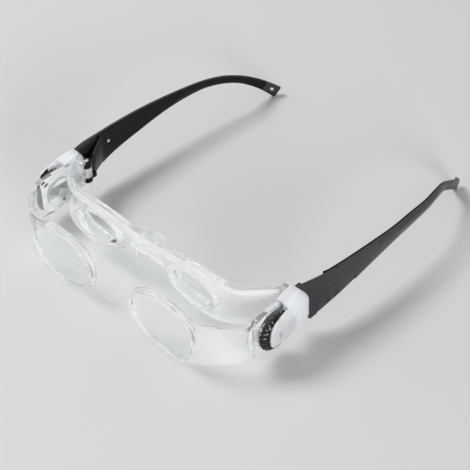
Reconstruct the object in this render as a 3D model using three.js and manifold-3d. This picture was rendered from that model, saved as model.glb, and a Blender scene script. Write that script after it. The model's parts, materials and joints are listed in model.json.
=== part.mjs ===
// Binocular glasses: low-power distance spectacles worn hands-free.
// Two convex objective lenses ride on clear carriers in front of a clear rear frame that holds the
// concave eyepieces. A knurled wheel on each side turns a pinion that slides its carrier to focus.
// Millimetres. X runs across the face (+X is the wearer's left), Y from the objectives back to the
// ears and Z up. Dimensions are written from the front face of the objective rims and the floor.
import * as THREE from 'three';
import { mergeVertices } from 'three/addons/utils/BufferGeometryUtils.js';
import Module from 'manifold-3d';

const wasm = await Module();
wasm.setup();

const SIDES = [
  { label: 'left', sign: 1 },
  { label: 'right', sign: -1 },
];

// Driving dimensions
const ORIGIN_DEPTH = 96.8;
const SEAT_GAP = 0.3;
const BORE_GAP = 0.1;
const BEYOND = 10;
const INSIDE = 60;
const OUTSIDE = 90;

// Objective lens and the oval rim of its carrier. Each quadrant of the oval has its own fullness:
// the lower nose side is cut away most, to clear the nose.
const OBJECTIVE = {
  x: 33.6,
  z: 15.95,
  segments: 28,
  halfWidth: 21.5,
  halfHeight: 16.1,
  fullness: { outerTop: 2.5, noseTop: 2.3, noseBottom: 1.85, outerBottom: 2.2 },
};
const RIM = { width: 1.5, depth: 4, ledge: 1, ledgeDepth: 1 };
const OBJECTIVE_LENS = { frontEdge: 1.2, frontSag: 2.2, backEdge: 2.7, backSag: 0.6 };

// Eyepiece lens, set in a boss of the rear frame
const EYEPIECE = {
  x: 31.8,
  y: 26,
  z: 22.3,
  segments: 24,
  halfWidth: 13.4,
  halfHeight: 7.3,
  fullness: { outerTop: 2.3, noseTop: 2.3, noseBottom: 2.3, outerBottom: 2.3 },
};
const EYEPIECE_LENS = { frontEdge: -1.8, frontSag: -1.1, backEdge: 2, backSag: -1.1 };
const BOSS = { wall: 1.6, front: -3.6, back: 3.6, bevel: 0.9 };

// Focus wheel, with its axle along X
const WHEEL = { y: 31.2, z: 19.1, radius: 9.8, inner: 74.2, outer: 78, ridges: 24, ridgeHeight: 0.6 };
const WHEEL_CHAMFER = { inner: 0.4, outer: 0.7 };
const WHEEL_RIDGE = [[0.1, 0], [0.5, 0], [0.8, 1]];
const HUB = { radius: 7.4, inner: 74.4, outer: 77.8, bore: 1.1 };
const RING_BORE = HUB.radius + SEAT_GAP;

// Rack and pinion: the pinion is moulded on the hub and the rack lies along the carrier's slot
const GEAR_MODULE = 0.7;
const PINION_TEETH = 8;
const PRESSURE_ANGLE = THREE.MathUtils.degToRad(25);
const PITCH_RADIUS = (GEAR_MODULE * PINION_TEETH) / 2;
const RACK_PITCH = Math.PI * GEAR_MODULE;
const RACK_TEETH = 6;
const TOOTH = { pinionTip: 0.55, pinionRoot: 0.8, rackTip: 0.45, rackRoot: 0.8, backlash: 0.16 };
const SLIDE_TRAVEL = 3;

// Slide plate of the carrier, which runs between the guide disc and the wheel
const PLATE = { inner: 70.6, outer: 73, front: 20.2, back: 40, low: 9.2, corner: 1.6 };
const HOOD = { innerRadius: 10.2, outerRadius: 11.5, outer: 75.6, back: 38.2, frontAngle: 125 };
const PLATE_SHOULDER_ANGLE = 132;
const HOOD_CENTRE_Y = WHEEL.y - SLIDE_TRAVEL;
const SLOT = { halfLength: 6.9, top: 3.8 };

// Axle screw with the guide disc and wave washer that it holds
const AXLE = { radius: 1, headRadius: 2.7, headInner: 66.7, headOuter: 68.2, tip: 79.2 };
const GUIDE_DISC = { radius: 8.2, bore: 1.25, inner: 68.5, outer: 70.3 };
const WAVE_WASHER = { radius: 2.1, bore: 1.3, inner: 70.45, outer: 70.8 };
const PINION_INNER = 71;
const SCREW_SLOT_SHARE = 0.14;

// Temple hinge: an upright pin through two temple ears and the frame's knuckle
const HINGE = { x: 70, y: 49.8, radius: 3, bore: 0.85 };
const KNUCKLE = { low: 18.6, high: 24.4, webHalf: 1.1 };
const EAR_UPPER = { low: 24.7, high: 27.6 };
const EAR_LOWER = { low: 15.5, high: 18.3 };
const EAR_ARM_HALF = 1.2;
const HINGE_PIN = { radius: 0.75, low: 15.3, high: 27.8, headRadius: 1.5, headHeight: 0.7 };

// End cap over the wheel's outer face: its outer face as (y, x) and its front edge as (y, z)
const CAP = { wall: 78.3, bottom: 13.5, top: 34.1, crease: 26.2, rootInner: 71.3, rootFront: 43.4 };
const CAP_EDGE = { bevel: 2, low: 0.6, high: 0.8 };
const CAP_OUTER = [[23, 79.3], [30, 79.8], [36, 79.9], [42, 79.4], [48, 78.1], [54, 77]];
const CAP_FRONT_EDGE = [[37.2, 35.1], [36.2, 31.4], [31.7, 29.9], [27, 27.8], [24.9, 23.5], [24.7, 19.2]];
const CAP_CHIN = { y: 28.4, z: 14.2 };
const WHEEL_WELL_RADIUS = 10.4;
const HOOD_WELL = { outer: 76, low: 26.4, high: 31 };
const CAP_SCREW = { y: 45, radius: 0.8, headRadius: 1.5, headInner: 66.3, headOuter: 67.3, tip: 75.5, bore: 0.95 };
const CAP_SCREW_HEIGHTS = { upper: 30, lower: 21 };
const END_BLOCK = { inner: 67.6, outer: 71, front: 43.7, back: 46.4, low: 15, high: 33 };

// The joint line where the cap's rear edge meets the temple's front edge, as (y, z)
const FISHTAIL = [[55, 7], [53.4, 12], [52.8, 18], [52.3, 24], [50.2, 29], [47.4, 33], [43.5, 38]];
const FISHTAIL_HALF_GAP = 0.2;
const FISHTAIL_STEPS = 14;

// Temple: upper and lower edge of its middle surface, paired from the hinge to the tip
const TEMPLE_STATIONS = [
  { top: [73.2, 44.5, 34.7], bottom: [75, 50, 9.2] },
  { top: [75.6, 55, 34.2], bottom: [76.3, 58.5, 11] },
  { top: [77, 65, 33.2], bottom: [77.5, 66.5, 13.5] },
  { top: [77.9, 76, 32.7], bottom: [78.3, 76, 15.7] },
  { top: [78.8, 97, 31.6], bottom: [78.4, 96, 19.2] },
  { top: [78.7, 115, 30.2], bottom: [78.3, 115, 21.9] },
  { top: [77.5, 130, 29.2], bottom: [77.9, 130, 22.8] },
  { top: [76.1, 145, 27.6], bottom: [76.7, 144, 22.7] },
  { top: [73.5, 157.5, 25.5], bottom: [74.4, 154.5, 21.4] },
  { top: [70.8, 168, 21.9], bottom: [71.8, 164, 18.7] },
  { top: [69.4, 178, 16.5], bottom: [70.1, 173.5, 13.4] },
  { top: [67.2, 187, 10.7], bottom: [67.8, 182, 7.3] },
  { top: [62.6, 194, 5.4], bottom: [64.4, 190.2, 0] },
];
const TEMPLE_STEPS = 20;
const CURVE_SAMPLES = 400;
const TEMPLE_CREASE = { height: 0.58, bulge: 0.6 };
const TEMPLE_EDGE = 0.4;
const SHELL_THICKNESS = 1.6;
const CORE_THICKNESS = 1.1;
const TEMPLE_THICKNESS = SHELL_THICKNESS + SEAT_GAP + CORE_THICKNESS;
const CORE_INSET = 0.4;
const CORE_BELLY = { height: 0.5, lean: 0.2 };
const TIP_SLIMMING = 0.25;
const TIP_SEAM = { shellEnd: 0.915, tipStart: 0.919 };
const CORE_FRONT = { y: 53.5, reach: 66, spread: 1.7, thickening: 1.5 };
const CORE_SLOPE = { lowY: 52.5, lowZ: 25.2, highY: 64.5, highZ: 30.8 };
const CORE_UNDERCUT = { frontZ: 16, backY: 67, backZ: 15.2 };
const TOP_NOTCH = { y: 69.5, width: 1.4, depth: 0.8 };
const PANEL = { front: 58.5, back: 84, frontTop: 21.5, backTop: 20.5, low: 9, depth: 0.4, corner: 2.5 };
const RIVET = { y: 71, z: 26.2, radius: 0.7, headRadius: 1.2, headHeight: 0.5, tipDepth: 1 };
const EYELET = { share: 0.62, halfLength: 1.9, halfHeight: 1 };

// Rear frame, one half: a channel open to the front. Each station gives the back face, the top and
// bottom edge, and how far the top flange and the bottom shelf reach forward of the back face.
const FRAME_STATIONS = [
  { x: 0, y: 27.4, top: 33.6, bottom: 21.4, topReach: 6.8, shelfReach: 2.4 },
  { x: 6, y: 27.4, top: 33.7, bottom: 21.2, topReach: 6.6, shelfReach: 2.4 },
  { x: 12, y: 27.5, top: 34, bottom: 20.4, topReach: 6.2, shelfReach: 2.5 },
  { x: 16, y: 27.7, top: 34.2, bottom: 17, topReach: 5.8, shelfReach: 2.8 },
  { x: 20, y: 28, top: 34.3, bottom: 14.3, topReach: 5.6, shelfReach: 3.4 },
  { x: 26, y: 28.2, top: 34.4, bottom: 12.3, topReach: 5.5, shelfReach: 5 },
  { x: 34, y: 28.4, top: 34.5, bottom: 11.8, topReach: 5.5, shelfReach: 6.2 },
  { x: 46, y: 28.6, top: 34.5, bottom: 12.3, topReach: 5.2, shelfReach: 5.8 },
  { x: 54, y: 30, top: 34.4, bottom: 13.6, topReach: 4.2, shelfReach: 4.8 },
  { x: 60, y: 33.8, top: 34.3, bottom: 14.8, topReach: 3.2, shelfReach: 4.2 },
  { x: 65, y: 39.5, top: 34.1, bottom: 15.4, topReach: 3, shelfReach: 2.9 },
  { x: 68.6, y: 44.6, top: 33.6, bottom: 15.6, topReach: 2.5, shelfReach: 2.5 },
];
const FRAME_STEPS = 34;
const FRAME_PROFILE = { web: 1.8, flange: 1.9, fillet: 0.5, edge: 0.5 };

// Carrier arm: from inside the rim, round the corner and back to the slide plate
const ARM_STATIONS = [
  { x: 43, y: 2, top: 31.2, bottom: 1.2 },
  { x: 50, y: 2.2, top: 30.9, bottom: 2.4 },
  { x: 56, y: 3.6, top: 30.4, bottom: 4.2 },
  { x: 62, y: 6.8, top: 29.6, bottom: 6.2 },
  { x: 67.4, y: 11.4, top: 28.4, bottom: 8.2 },
  { x: 70.8, y: 16.6, top: 27.2, bottom: 9.2 },
  { x: 71.8, y: 22.4, top: 26.4, bottom: 9.4 },
];
const ARM_STEPS = 10;
const ARM_THICKNESS = 2.4;
const ARM_EDGE = 0.6;

// Silicone nose saddle: an arch on two pegs behind the bridge
const SADDLE = { centreZ: 17, halfWidth: 10.2, height: 14, front: 27.9, back: 33.8, thickness: 2.4, tuck: 12 };
const SADDLE_STEPS = 12;
const SADDLE_PEG = { x: 4.6, z: 29.5, radius: 0.6, front: 26.5, back: 30.6 };

const LENS_RINGS = [0.3, 0.7, 1];
const ROUND_SEGMENTS = 12;
const DISC_SEGMENTS = 22;

// Materials
const material = (color, roughness, metalness = 0, opacity = 1) =>
  new THREE.MeshStandardMaterial({ color, roughness, metalness, opacity, transparent: opacity < 1 });
const MATERIALS = {
  clear: material(0xe9eded, 0.12, 0, 0.35),
  lens: material(0xf2f6f6, 0.04, 0, 0.25),
  milky: material(0xe2e4f0, 0.4),
  anthracite: material(0x3c3f43, 0.42),
  black: material(0x141416, 0.3),
  steel: material(0xb9bbbd, 0.3, 1),
  silicone: material(0xe6e8e8, 0.55, 0, 0.6),
};

// Turns a closed geometry into a solid for joining and cutting
function toSolid(geometry) {
  const bare = geometry.index ? geometry.toNonIndexed() : geometry.clone();
  bare.deleteAttribute('normal');
  bare.deleteAttribute('uv');
  const merged = mergeVertices(bare, 1e-4);
  const corners = merged.index.array;
  const kept = [];
  for (let i = 0; i < corners.length; i += 3) {
    const [a, b, c] = corners.subarray(i, i + 3);
    if (a !== b && b !== c && c !== a) kept.push(a, b, c);
  }
  return new wasm.Manifold(new wasm.Mesh({
    numProp: 3,
    vertProperties: merged.attributes.position.array,
    triVerts: new Uint32Array(kept),
  }));
}

function toGeometry(solid) {
  const mesh = solid.getMesh();
  const geometry = new THREE.BufferGeometry();
  const positions = new Float32Array(mesh.numVert * 3);
  for (let i = 0; i < mesh.numVert; i++) {
    for (let axis = 0; axis < 3; axis++) {
      positions[3 * i + axis] = mesh.vertProperties[mesh.numProp * i + axis];
    }
  }
  geometry.setAttribute('position', new THREE.BufferAttribute(positions, 3));
  geometry.setIndex(new THREE.BufferAttribute(new Uint32Array(mesh.triVerts), 1));
  return geometry;
}

const join = (...solids) => solids.reduce((whole, next) => whole.add(next));
const cut = (solid, ...tools) => tools.reduce((whole, tool) => whole.subtract(tool), solid);

// Triangles that fill a flat closed section in the same turning sense as its points
function sectionCap(section) {
  const normal = new THREE.Vector3();
  section.forEach((p, i) => normal.add(new THREE.Vector3().crossVectors(p, section[(i + 1) % section.length])));
  normal.normalize();
  const across = section[1].clone().sub(section[0]).normalize();
  const upward = new THREE.Vector3().crossVectors(normal, across);
  const flat = section.map((p) => new THREE.Vector2(p.dot(across), p.dot(upward)));
  return THREE.ShapeUtils.triangulateShape(flat, []);
}

// Skins a row of closed sections with equal point counts and closes both ends
function loft(sections) {
  const count = sections[0].length;
  const points = sections.flat();
  const faces = [];
  for (let ring = 0; ring + 1 < sections.length; ring++) {
    for (let i = 0; i < count; i++) {
      const a = ring * count + i;
      const b = ring * count + ((i + 1) % count);
      faces.push([a, b, b + count], [a, b + count, a + count]);
    }
  }
  const lastRing = (sections.length - 1) * count;
  sectionCap(sections[0]).forEach(([a, b, c]) => faces.push([c, b, a]));
  sectionCap(sections.at(-1)).forEach((face) => faces.push(face.map((corner) => corner + lastRing)));
  const volume = faces.reduce((sum, [a, b, c]) => {
    return sum + points[a].dot(new THREE.Vector3().crossVectors(points[b], points[c]));
  }, 0);
  if (volume < 0) faces.forEach((face) => face.reverse());
  const geometry = new THREE.BufferGeometry().setFromPoints(points);
  geometry.setIndex(faces.flat());
  return toSolid(geometry);
}

// Extrudes a shape along an axis: (y, z) shapes run along x, (x, z) along y and (x, y) along z
const X_AXIS = new THREE.Vector3(1, 0, 0);
const Y_AXIS = new THREE.Vector3(0, 1, 0);
const Z_AXIS = new THREE.Vector3(0, 0, 1);
function extrudeAlong(axis, shape, from, to) {
  const options = { depth: to - from, bevelEnabled: false, curveSegments: ROUND_SEGMENTS };
  const geometry = new THREE.ExtrudeGeometry(shape, options);
  const turn = new THREE.Matrix4();
  if (axis === 'x') turn.makeBasis(Y_AXIS, Z_AXIS, X_AXIS).setPosition(from, 0, 0);
  if (axis === 'y') turn.makeBasis(X_AXIS, Z_AXIS, Y_AXIS.clone().negate()).setPosition(0, to, 0);
  if (axis === 'z') turn.setPosition(0, 0, from);
  return geometry.applyMatrix4(turn);
}
const prism = (axis, shape, from, to) => toSolid(extrudeAlong(axis, shape, from, to));

const polygon = (points) => new THREE.Shape(points.map(([u, v]) => new THREE.Vector2(u, v)));

function circle(u, v, radius, segments = ROUND_SEGMENTS) {
  const points = [];
  for (let i = 0; i < segments; i++) {
    const angle = ((i + 0.5) / segments) * 2 * Math.PI;
    points.push([u + radius * Math.cos(angle), v + radius * Math.sin(angle)]);
  }
  return polygon(points);
}

const box = (x0, x1, y0, y1, z0, z1) => prism('z', polygon([[x0, y0], [x1, y0], [x1, y1], [x0, y1]]), z0, z1);

// The space under the floor, cut away to leave a small flat wherever a part would reach below it
const belowFloor = () => box(0, OUTSIDE, -BEYOND, 2 * ORIGIN_DEPTH + BEYOND, -BEYOND, 0);

// Points of an oval whose quadrants differ in fullness, in the XZ plane about its own centre
function ovalPoints(oval, inset = 0) {
  const points = [];
  for (let i = 0; i < oval.segments; i++) {
    const angle = (i / oval.segments) * 2 * Math.PI;
    const c = Math.cos(angle);
    const s = Math.sin(angle);
    const upper = c >= 0 ? oval.fullness.outerTop : oval.fullness.noseTop;
    const lower = c >= 0 ? oval.fullness.outerBottom : oval.fullness.noseBottom;
    const power = 2 / (s >= 0 ? upper : lower);
    const u = Math.sign(c) * Math.abs(c) ** power * (oval.halfWidth - inset);
    const v = Math.sign(s) * Math.abs(s) ** power * (oval.halfHeight - inset);
    points.push([u, v]);
  }
  return points;
}

// A lens blank about the origin: rings of the oval, from the front's middle out and back in
function lensBlank(oval, inset, faces) {
  const outline = ovalPoints(oval, inset);
  const ring = (scale, y) => outline.map(([u, v]) => new THREE.Vector3(u * scale, y, v * scale));
  const front = LENS_RINGS.map((f) => ring(f, faces.frontEdge - faces.frontSag * (1 - f * f)));
  const back = LENS_RINGS.map((f) => ring(f, faces.backEdge + faces.backSag * (1 - f * f)));
  return loft([...front, ...back.reverse()]);
}

// A wall that follows a plan line. Each section comes from profile(top, bottom, topReach, shelfReach)
// as (offset, z), with the offset counted forward from the plan line.
function wall(stations, steps, profile) {
  const plan = new THREE.CatmullRomCurve3(stations.map((s) => new THREE.Vector3(s.x, s.y, s.top)));
  const rest = new THREE.CatmullRomCurve3(
    stations.map((s) => new THREE.Vector3(s.bottom, s.topReach ?? 0, s.shelfReach ?? 0)));
  const sections = [];
  for (let i = 0; i <= steps; i++) {
    const place = plan.getPoint(i / steps);
    const { x: bottom, y: topReach, z: shelfReach } = rest.getPoint(i / steps);
    const along = plan.getTangent(i / steps).setZ(0).normalize();
    const forward = new THREE.Vector3(along.y, -along.x, 0);
    sections.push(profile(place.z, bottom, topReach, shelfReach).map(([offset, z]) => {
      return place.clone().setZ(z).addScaledVector(forward, offset);
    }));
  }
  return loft(sections);
}

const mirrored = (stations) => stations.slice(1).reverse().map((s) => ({ ...s, x: -s.x }));

// Rear frame
function frameProfile(top, bottom, topReach, shelfReach) {
  const { web, flange, fillet, edge } = FRAME_PROFILE;
  return [
    [0, bottom + edge],
    [edge, bottom],
    [shelfReach - edge, bottom],
    [shelfReach, bottom + edge],
    [shelfReach, bottom + flange],
    [web + fillet, bottom + flange],
    [web, bottom + flange + fillet],
    [web, top - flange - fillet],
    [web + fillet, top - flange],
    [topReach, top - flange],
    [topReach, top - edge],
    [topReach - edge, top],
    [edge, top],
    [0, top - edge],
  ];
}

// A straight or stepped bore with the outline of an oval, from stops of inset and depth
function ovalBore(oval, stops) {
  return loft(stops.map(([inset, y]) => ovalPoints(oval, inset).map(([u, v]) => new THREE.Vector3(u, y, v))));
}

const atEyepiece = (solid, sign) => solid.translate([sign * EYEPIECE.x, EYEPIECE.y, EYEPIECE.z]);

function hingeKnuckle(sign) {
  const x = sign * HINGE.x;
  const barrel = prism('z', circle(x, HINGE.y, HINGE.radius, ROUND_SEGMENTS), KNUCKLE.low, KNUCKLE.high);
  const half = KNUCKLE.webHalf;
  const web = box(x - half, x + half, END_BLOCK.back - 1, HINGE.y, KNUCKLE.low, KNUCKLE.high);
  return barrel.add(web);
}

function endBlock(sign) {
  const [near, far] = [sign * END_BLOCK.inner, sign * END_BLOCK.outer].sort((a, b) => a - b);
  return box(near, far, END_BLOCK.front, END_BLOCK.back, END_BLOCK.low, END_BLOCK.high);
}

function rearFrame() {
  let frame = wall([...mirrored(FRAME_STATIONS), ...FRAME_STATIONS], FRAME_STEPS, frameProfile);
  const boss = ovalBore(EYEPIECE, [[-BOSS.wall, BOSS.front], [-BOSS.wall, BOSS.back]]);
  const hole = ovalBore(EYEPIECE, [
    [-2 * BOSS.bevel, BOSS.front - BOSS.bevel],
    [0, BOSS.front + BOSS.bevel],
    [0, BOSS.back + 1],
  ]);
  for (const { sign } of SIDES) {
    const pegShape = circle(sign * SADDLE_PEG.x, SADDLE_PEG.z, SADDLE_PEG.radius);
    const peg = prism('y', pegShape, SADDLE_PEG.front, SADDLE_PEG.back);
    frame = join(frame, atEyepiece(boss, sign), endBlock(sign), hingeKnuckle(sign), peg);
  }
  for (const { sign } of SIDES) {
    const pinBore = prism('z', circle(sign * HINGE.x, HINGE.y, HINGE.bore), 0, CAP.top);
    frame = cut(frame, atEyepiece(hole, sign), pinBore);
    for (const height of Object.values(CAP_SCREW_HEIGHTS)) {
      const reach = [sign * END_BLOCK.inner, sign * END_BLOCK.outer].sort((a, b) => a - b);
      const bore = circle(CAP_SCREW.y, height, CAP_SCREW.bore);
      frame = cut(frame, prism('x', bore, reach[0] - 1, reach[1] + 1));
    }
  }
  return frame;
}

function noseSaddle() {
  const sections = [];
  const tuck = THREE.MathUtils.degToRad(SADDLE.tuck);
  for (let i = 0; i <= SADDLE_STEPS; i++) {
    const angle = -tuck + (i / SADDLE_STEPS) * (Math.PI + 2 * tuck);
    const outward = new THREE.Vector3(Math.cos(angle), 0, Math.sin(angle));
    const base = new THREE.Vector3(SADDLE.halfWidth * outward.x, 0, SADDLE.centreZ + SADDLE.height * outward.z);
    const half = SADDLE.thickness / 2;
    const edge = half / 2;
    const profile = [
      [half, SADDLE.front + edge],
      [half - edge, SADDLE.front],
      [edge - half, SADDLE.front],
      [-half, SADDLE.front + edge],
      [-half, SADDLE.back - edge],
      [edge - half, SADDLE.back],
      [half - edge, SADDLE.back],
      [half, SADDLE.back - edge],
    ];
    sections.push(profile.map(([out, y]) => base.clone().addScaledVector(outward, out).setY(y)));
  }
  let saddle = loft(sections);
  for (const { sign } of SIDES) {
    const hole = circle(sign * SADDLE_PEG.x, SADDLE_PEG.z, SADDLE_PEG.radius + BORE_GAP);
    saddle = saddle.subtract(prism('y', hole, SADDLE.front - 1, SADDLE_PEG.back + SEAT_GAP));
  }
  return saddle;
}

// Carrier: oval rim, curved arm, slotted slide plate with the rack, and hood over the wheel
function armProfile(top, bottom) {
  const half = ARM_THICKNESS / 2;
  return [
    [half, top - ARM_EDGE],
    [half - ARM_EDGE, top],
    [ARM_EDGE - half, top],
    [-half, top - ARM_EDGE],
    [-half, bottom + ARM_EDGE],
    [ARM_EDGE - half, bottom],
    [half - ARM_EDGE, bottom],
    [half, bottom + ARM_EDGE],
  ];
}

function rackSlot() {
  const pitchLine = WHEEL.z - PITCH_RADIUS;
  const root = pitchLine - TOOTH.rackRoot;
  const tip = pitchLine + TOOTH.rackTip;
  const halfAtPitch = RACK_PITCH / 4 - TOOTH.backlash / 4;
  const tipHalf = halfAtPitch - TOOTH.rackTip * Math.tan(PRESSURE_ANGLE);
  const rootHalf = halfAtPitch + TOOTH.rackRoot * Math.tan(PRESSURE_ANGLE);
  const slot = new THREE.Path();
  slot.moveTo(WHEEL.y + SLOT.halfLength, root);
  slot.lineTo(WHEEL.y + SLOT.halfLength, WHEEL.z + SLOT.top);
  slot.lineTo(WHEEL.y - SLOT.halfLength, WHEEL.z + SLOT.top);
  slot.lineTo(WHEEL.y - SLOT.halfLength, root);
  for (let tooth = 0; tooth < RACK_TEETH; tooth++) {
    const middle = WHEEL.y + (tooth - (RACK_TEETH - 1) / 2) * RACK_PITCH;
    slot.lineTo(middle - rootHalf, root);
    slot.lineTo(middle - tipHalf, tip);
    slot.lineTo(middle + tipHalf, tip);
    slot.lineTo(middle + rootHalf, root);
  }
  return slot;
}

function slidePlate() {
  const top = WHEEL.z + HOOD.outerRadius;
  const shoulder = THREE.MathUtils.degToRad(PLATE_SHOULDER_ANGLE);
  const shape = new THREE.Shape();
  shape.moveTo(PLATE.front, PLATE.low);
  shape.lineTo(PLATE.back - PLATE.corner, PLATE.low);
  shape.absarc(PLATE.back - PLATE.corner, PLATE.low + PLATE.corner, PLATE.corner, -Math.PI / 2, 0);
  shape.lineTo(PLATE.back, top);
  shape.absarc(HOOD_CENTRE_Y, WHEEL.z, HOOD.outerRadius, Math.PI / 2, shoulder);
  shape.holes.push(rackSlot());
  return prism('x', shape, PLATE.inner, PLATE.outer);
}

function wheelHood() {
  const front = THREE.MathUtils.degToRad(HOOD.frontAngle);
  const shape = new THREE.Shape();
  shape.moveTo(HOOD.back, WHEEL.z + HOOD.outerRadius);
  shape.absarc(HOOD_CENTRE_Y, WHEEL.z, HOOD.outerRadius, Math.PI / 2, front);
  shape.absarc(HOOD_CENTRE_Y, WHEEL.z, HOOD.innerRadius, front, Math.PI / 2, true);
  shape.lineTo(HOOD.back, WHEEL.z + HOOD.innerRadius);
  return prism('x', shape, PLATE.inner, HOOD.outer);
}

function objectivePlaced(solidGeometry) {
  return toSolid(solidGeometry.translate(OBJECTIVE.x, 0, OBJECTIVE.z));
}

function carrier() {
  const rimBack = RIM.depth;
  const outer = polygon(ovalPoints(OBJECTIVE));
  const seat = polygon(ovalPoints(OBJECTIVE, RIM.width));
  const throat = polygon(ovalPoints(OBJECTIVE, RIM.width + RIM.ledge));
  const rim = objectivePlaced(extrudeAlong('y', outer, 0, rimBack));
  const arm = wall(ARM_STATIONS, ARM_STEPS, armProfile);
  const body = join(rim, arm, slidePlate(), wheelHood());
  const seatCut = objectivePlaced(extrudeAlong('y', seat, -1, rimBack - RIM.ledgeDepth));
  const throatCut = objectivePlaced(extrudeAlong('y', throat, 0, rimBack + 1));
  return cut(body, seatCut, throatCut, belowFloor());
}

// Focus wheel: knurled ring with chamfered ends
function knurledRing() {
  const outline = (inset) => {
    const points = [];
    for (let ridge = 0; ridge < WHEEL.ridges; ridge++) {
      for (const [share, drop] of WHEEL_RIDGE) {
        const angle = ((ridge + share) / WHEEL.ridges) * 2 * Math.PI;
        const radius = WHEEL.radius - drop * WHEEL.ridgeHeight - inset;
        points.push([radius * Math.cos(angle), radius * Math.sin(angle)]);
      }
    }
    return points;
  };
  const bands = [
    [WHEEL.inner, WHEEL_CHAMFER.inner],
    [WHEEL.inner + WHEEL_CHAMFER.inner, 0],
    [WHEEL.outer - WHEEL_CHAMFER.outer, 0],
    [WHEEL.outer, WHEEL_CHAMFER.outer],
  ];
  const ring = loft(bands.map(([x, inset]) => outline(inset).map(([y, z]) => new THREE.Vector3(x, y, z))));
  return ring.subtract(prism('x', circle(0, 0, RING_BORE, DISC_SEGMENTS), WHEEL.inner - 1, WHEEL.outer + 1));
}

// Pinion outline with involute flanks, one tooth pointing straight down at rest
function pinionShape() {
  const baseRadius = PITCH_RADIUS * Math.cos(PRESSURE_ANGLE);
  const involute = (radius) => {
    const angle = Math.acos(Math.min(1, baseRadius / radius));
    return Math.tan(angle) - angle;
  };
  const pitchHalf = Math.PI / (2 * PINION_TEETH) - TOOTH.backlash / (4 * PITCH_RADIUS);
  const halfAngle = (radius) => pitchHalf + involute(PITCH_RADIUS) - involute(radius);
  const tip = PITCH_RADIUS + TOOTH.pinionTip;
  const root = PITCH_RADIUS - TOOTH.pinionRoot;
  const flank = [
    [root, halfAngle(baseRadius)],
    [baseRadius, halfAngle(baseRadius)],
    [PITCH_RADIUS, pitchHalf],
    [tip, halfAngle(tip)],
  ];
  const points = [];
  for (let tooth = 0; tooth < PINION_TEETH; tooth++) {
    const middle = -Math.PI / 2 + (tooth / PINION_TEETH) * 2 * Math.PI;
    const rising = flank.map(([radius, half]) => [radius, middle - half]);
    const falling = flank.map(([radius, half]) => [radius, middle + half]).reverse();
    for (const [radius, angle] of [...rising, ...falling]) {
      points.push([radius * Math.cos(angle), radius * Math.sin(angle)]);
    }
  }
  return polygon(points);
}

function wheelHub() {
  const flange = prism('x', circle(0, 0, HUB.radius, DISC_SEGMENTS), HUB.inner, HUB.outer);
  const pinion = prism('x', pinionShape(), PINION_INNER, HUB.inner + 1);
  const bore = prism('x', circle(0, 0, HUB.bore), PINION_INNER - 1, HUB.outer + 1);
  return flange.add(pinion).subtract(bore);
}

// A slotted screw or pin along X: shank and head
function crossScrew(spec, headSegments = ROUND_SEGMENTS) {
  const shank = prism('x', circle(0, 0, spec.radius), spec.headOuter - SEAT_GAP, spec.tip);
  const head = prism('x', circle(0, 0, spec.headRadius, headSegments), spec.headInner, spec.headOuter);
  const depth = (spec.headOuter - spec.headInner) / 2;
  const half = spec.headRadius * SCREW_SLOT_SHARE;
  const slot = box(spec.headInner - 1, spec.headInner + depth, -half, half, -BEYOND, BEYOND);
  return head.add(shank).subtract(slot);
}

function flatDisc(spec, segments) {
  const disc = prism('x', circle(0, 0, spec.radius, segments), spec.inner, spec.outer);
  return disc.subtract(prism('x', circle(0, 0, spec.bore), spec.inner - 1, spec.outer + 1));
}

// End cap
function fishtailShape(side) {
  const shift = side * FISHTAIL_HALF_GAP;
  const curve = new THREE.SplineCurve(FISHTAIL.map(([y, z]) => new THREE.Vector2(y + shift, z)));
  const far = side > 0 ? -BEYOND : ORIGIN_DEPTH;
  const points = curve.getPoints(FISHTAIL_STEPS).map((p) => [p.x, p.y]);
  return polygon([...points, [far, FISHTAIL.at(-1)[1]], [far, FISHTAIL[0][1]]]);
}

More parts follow.
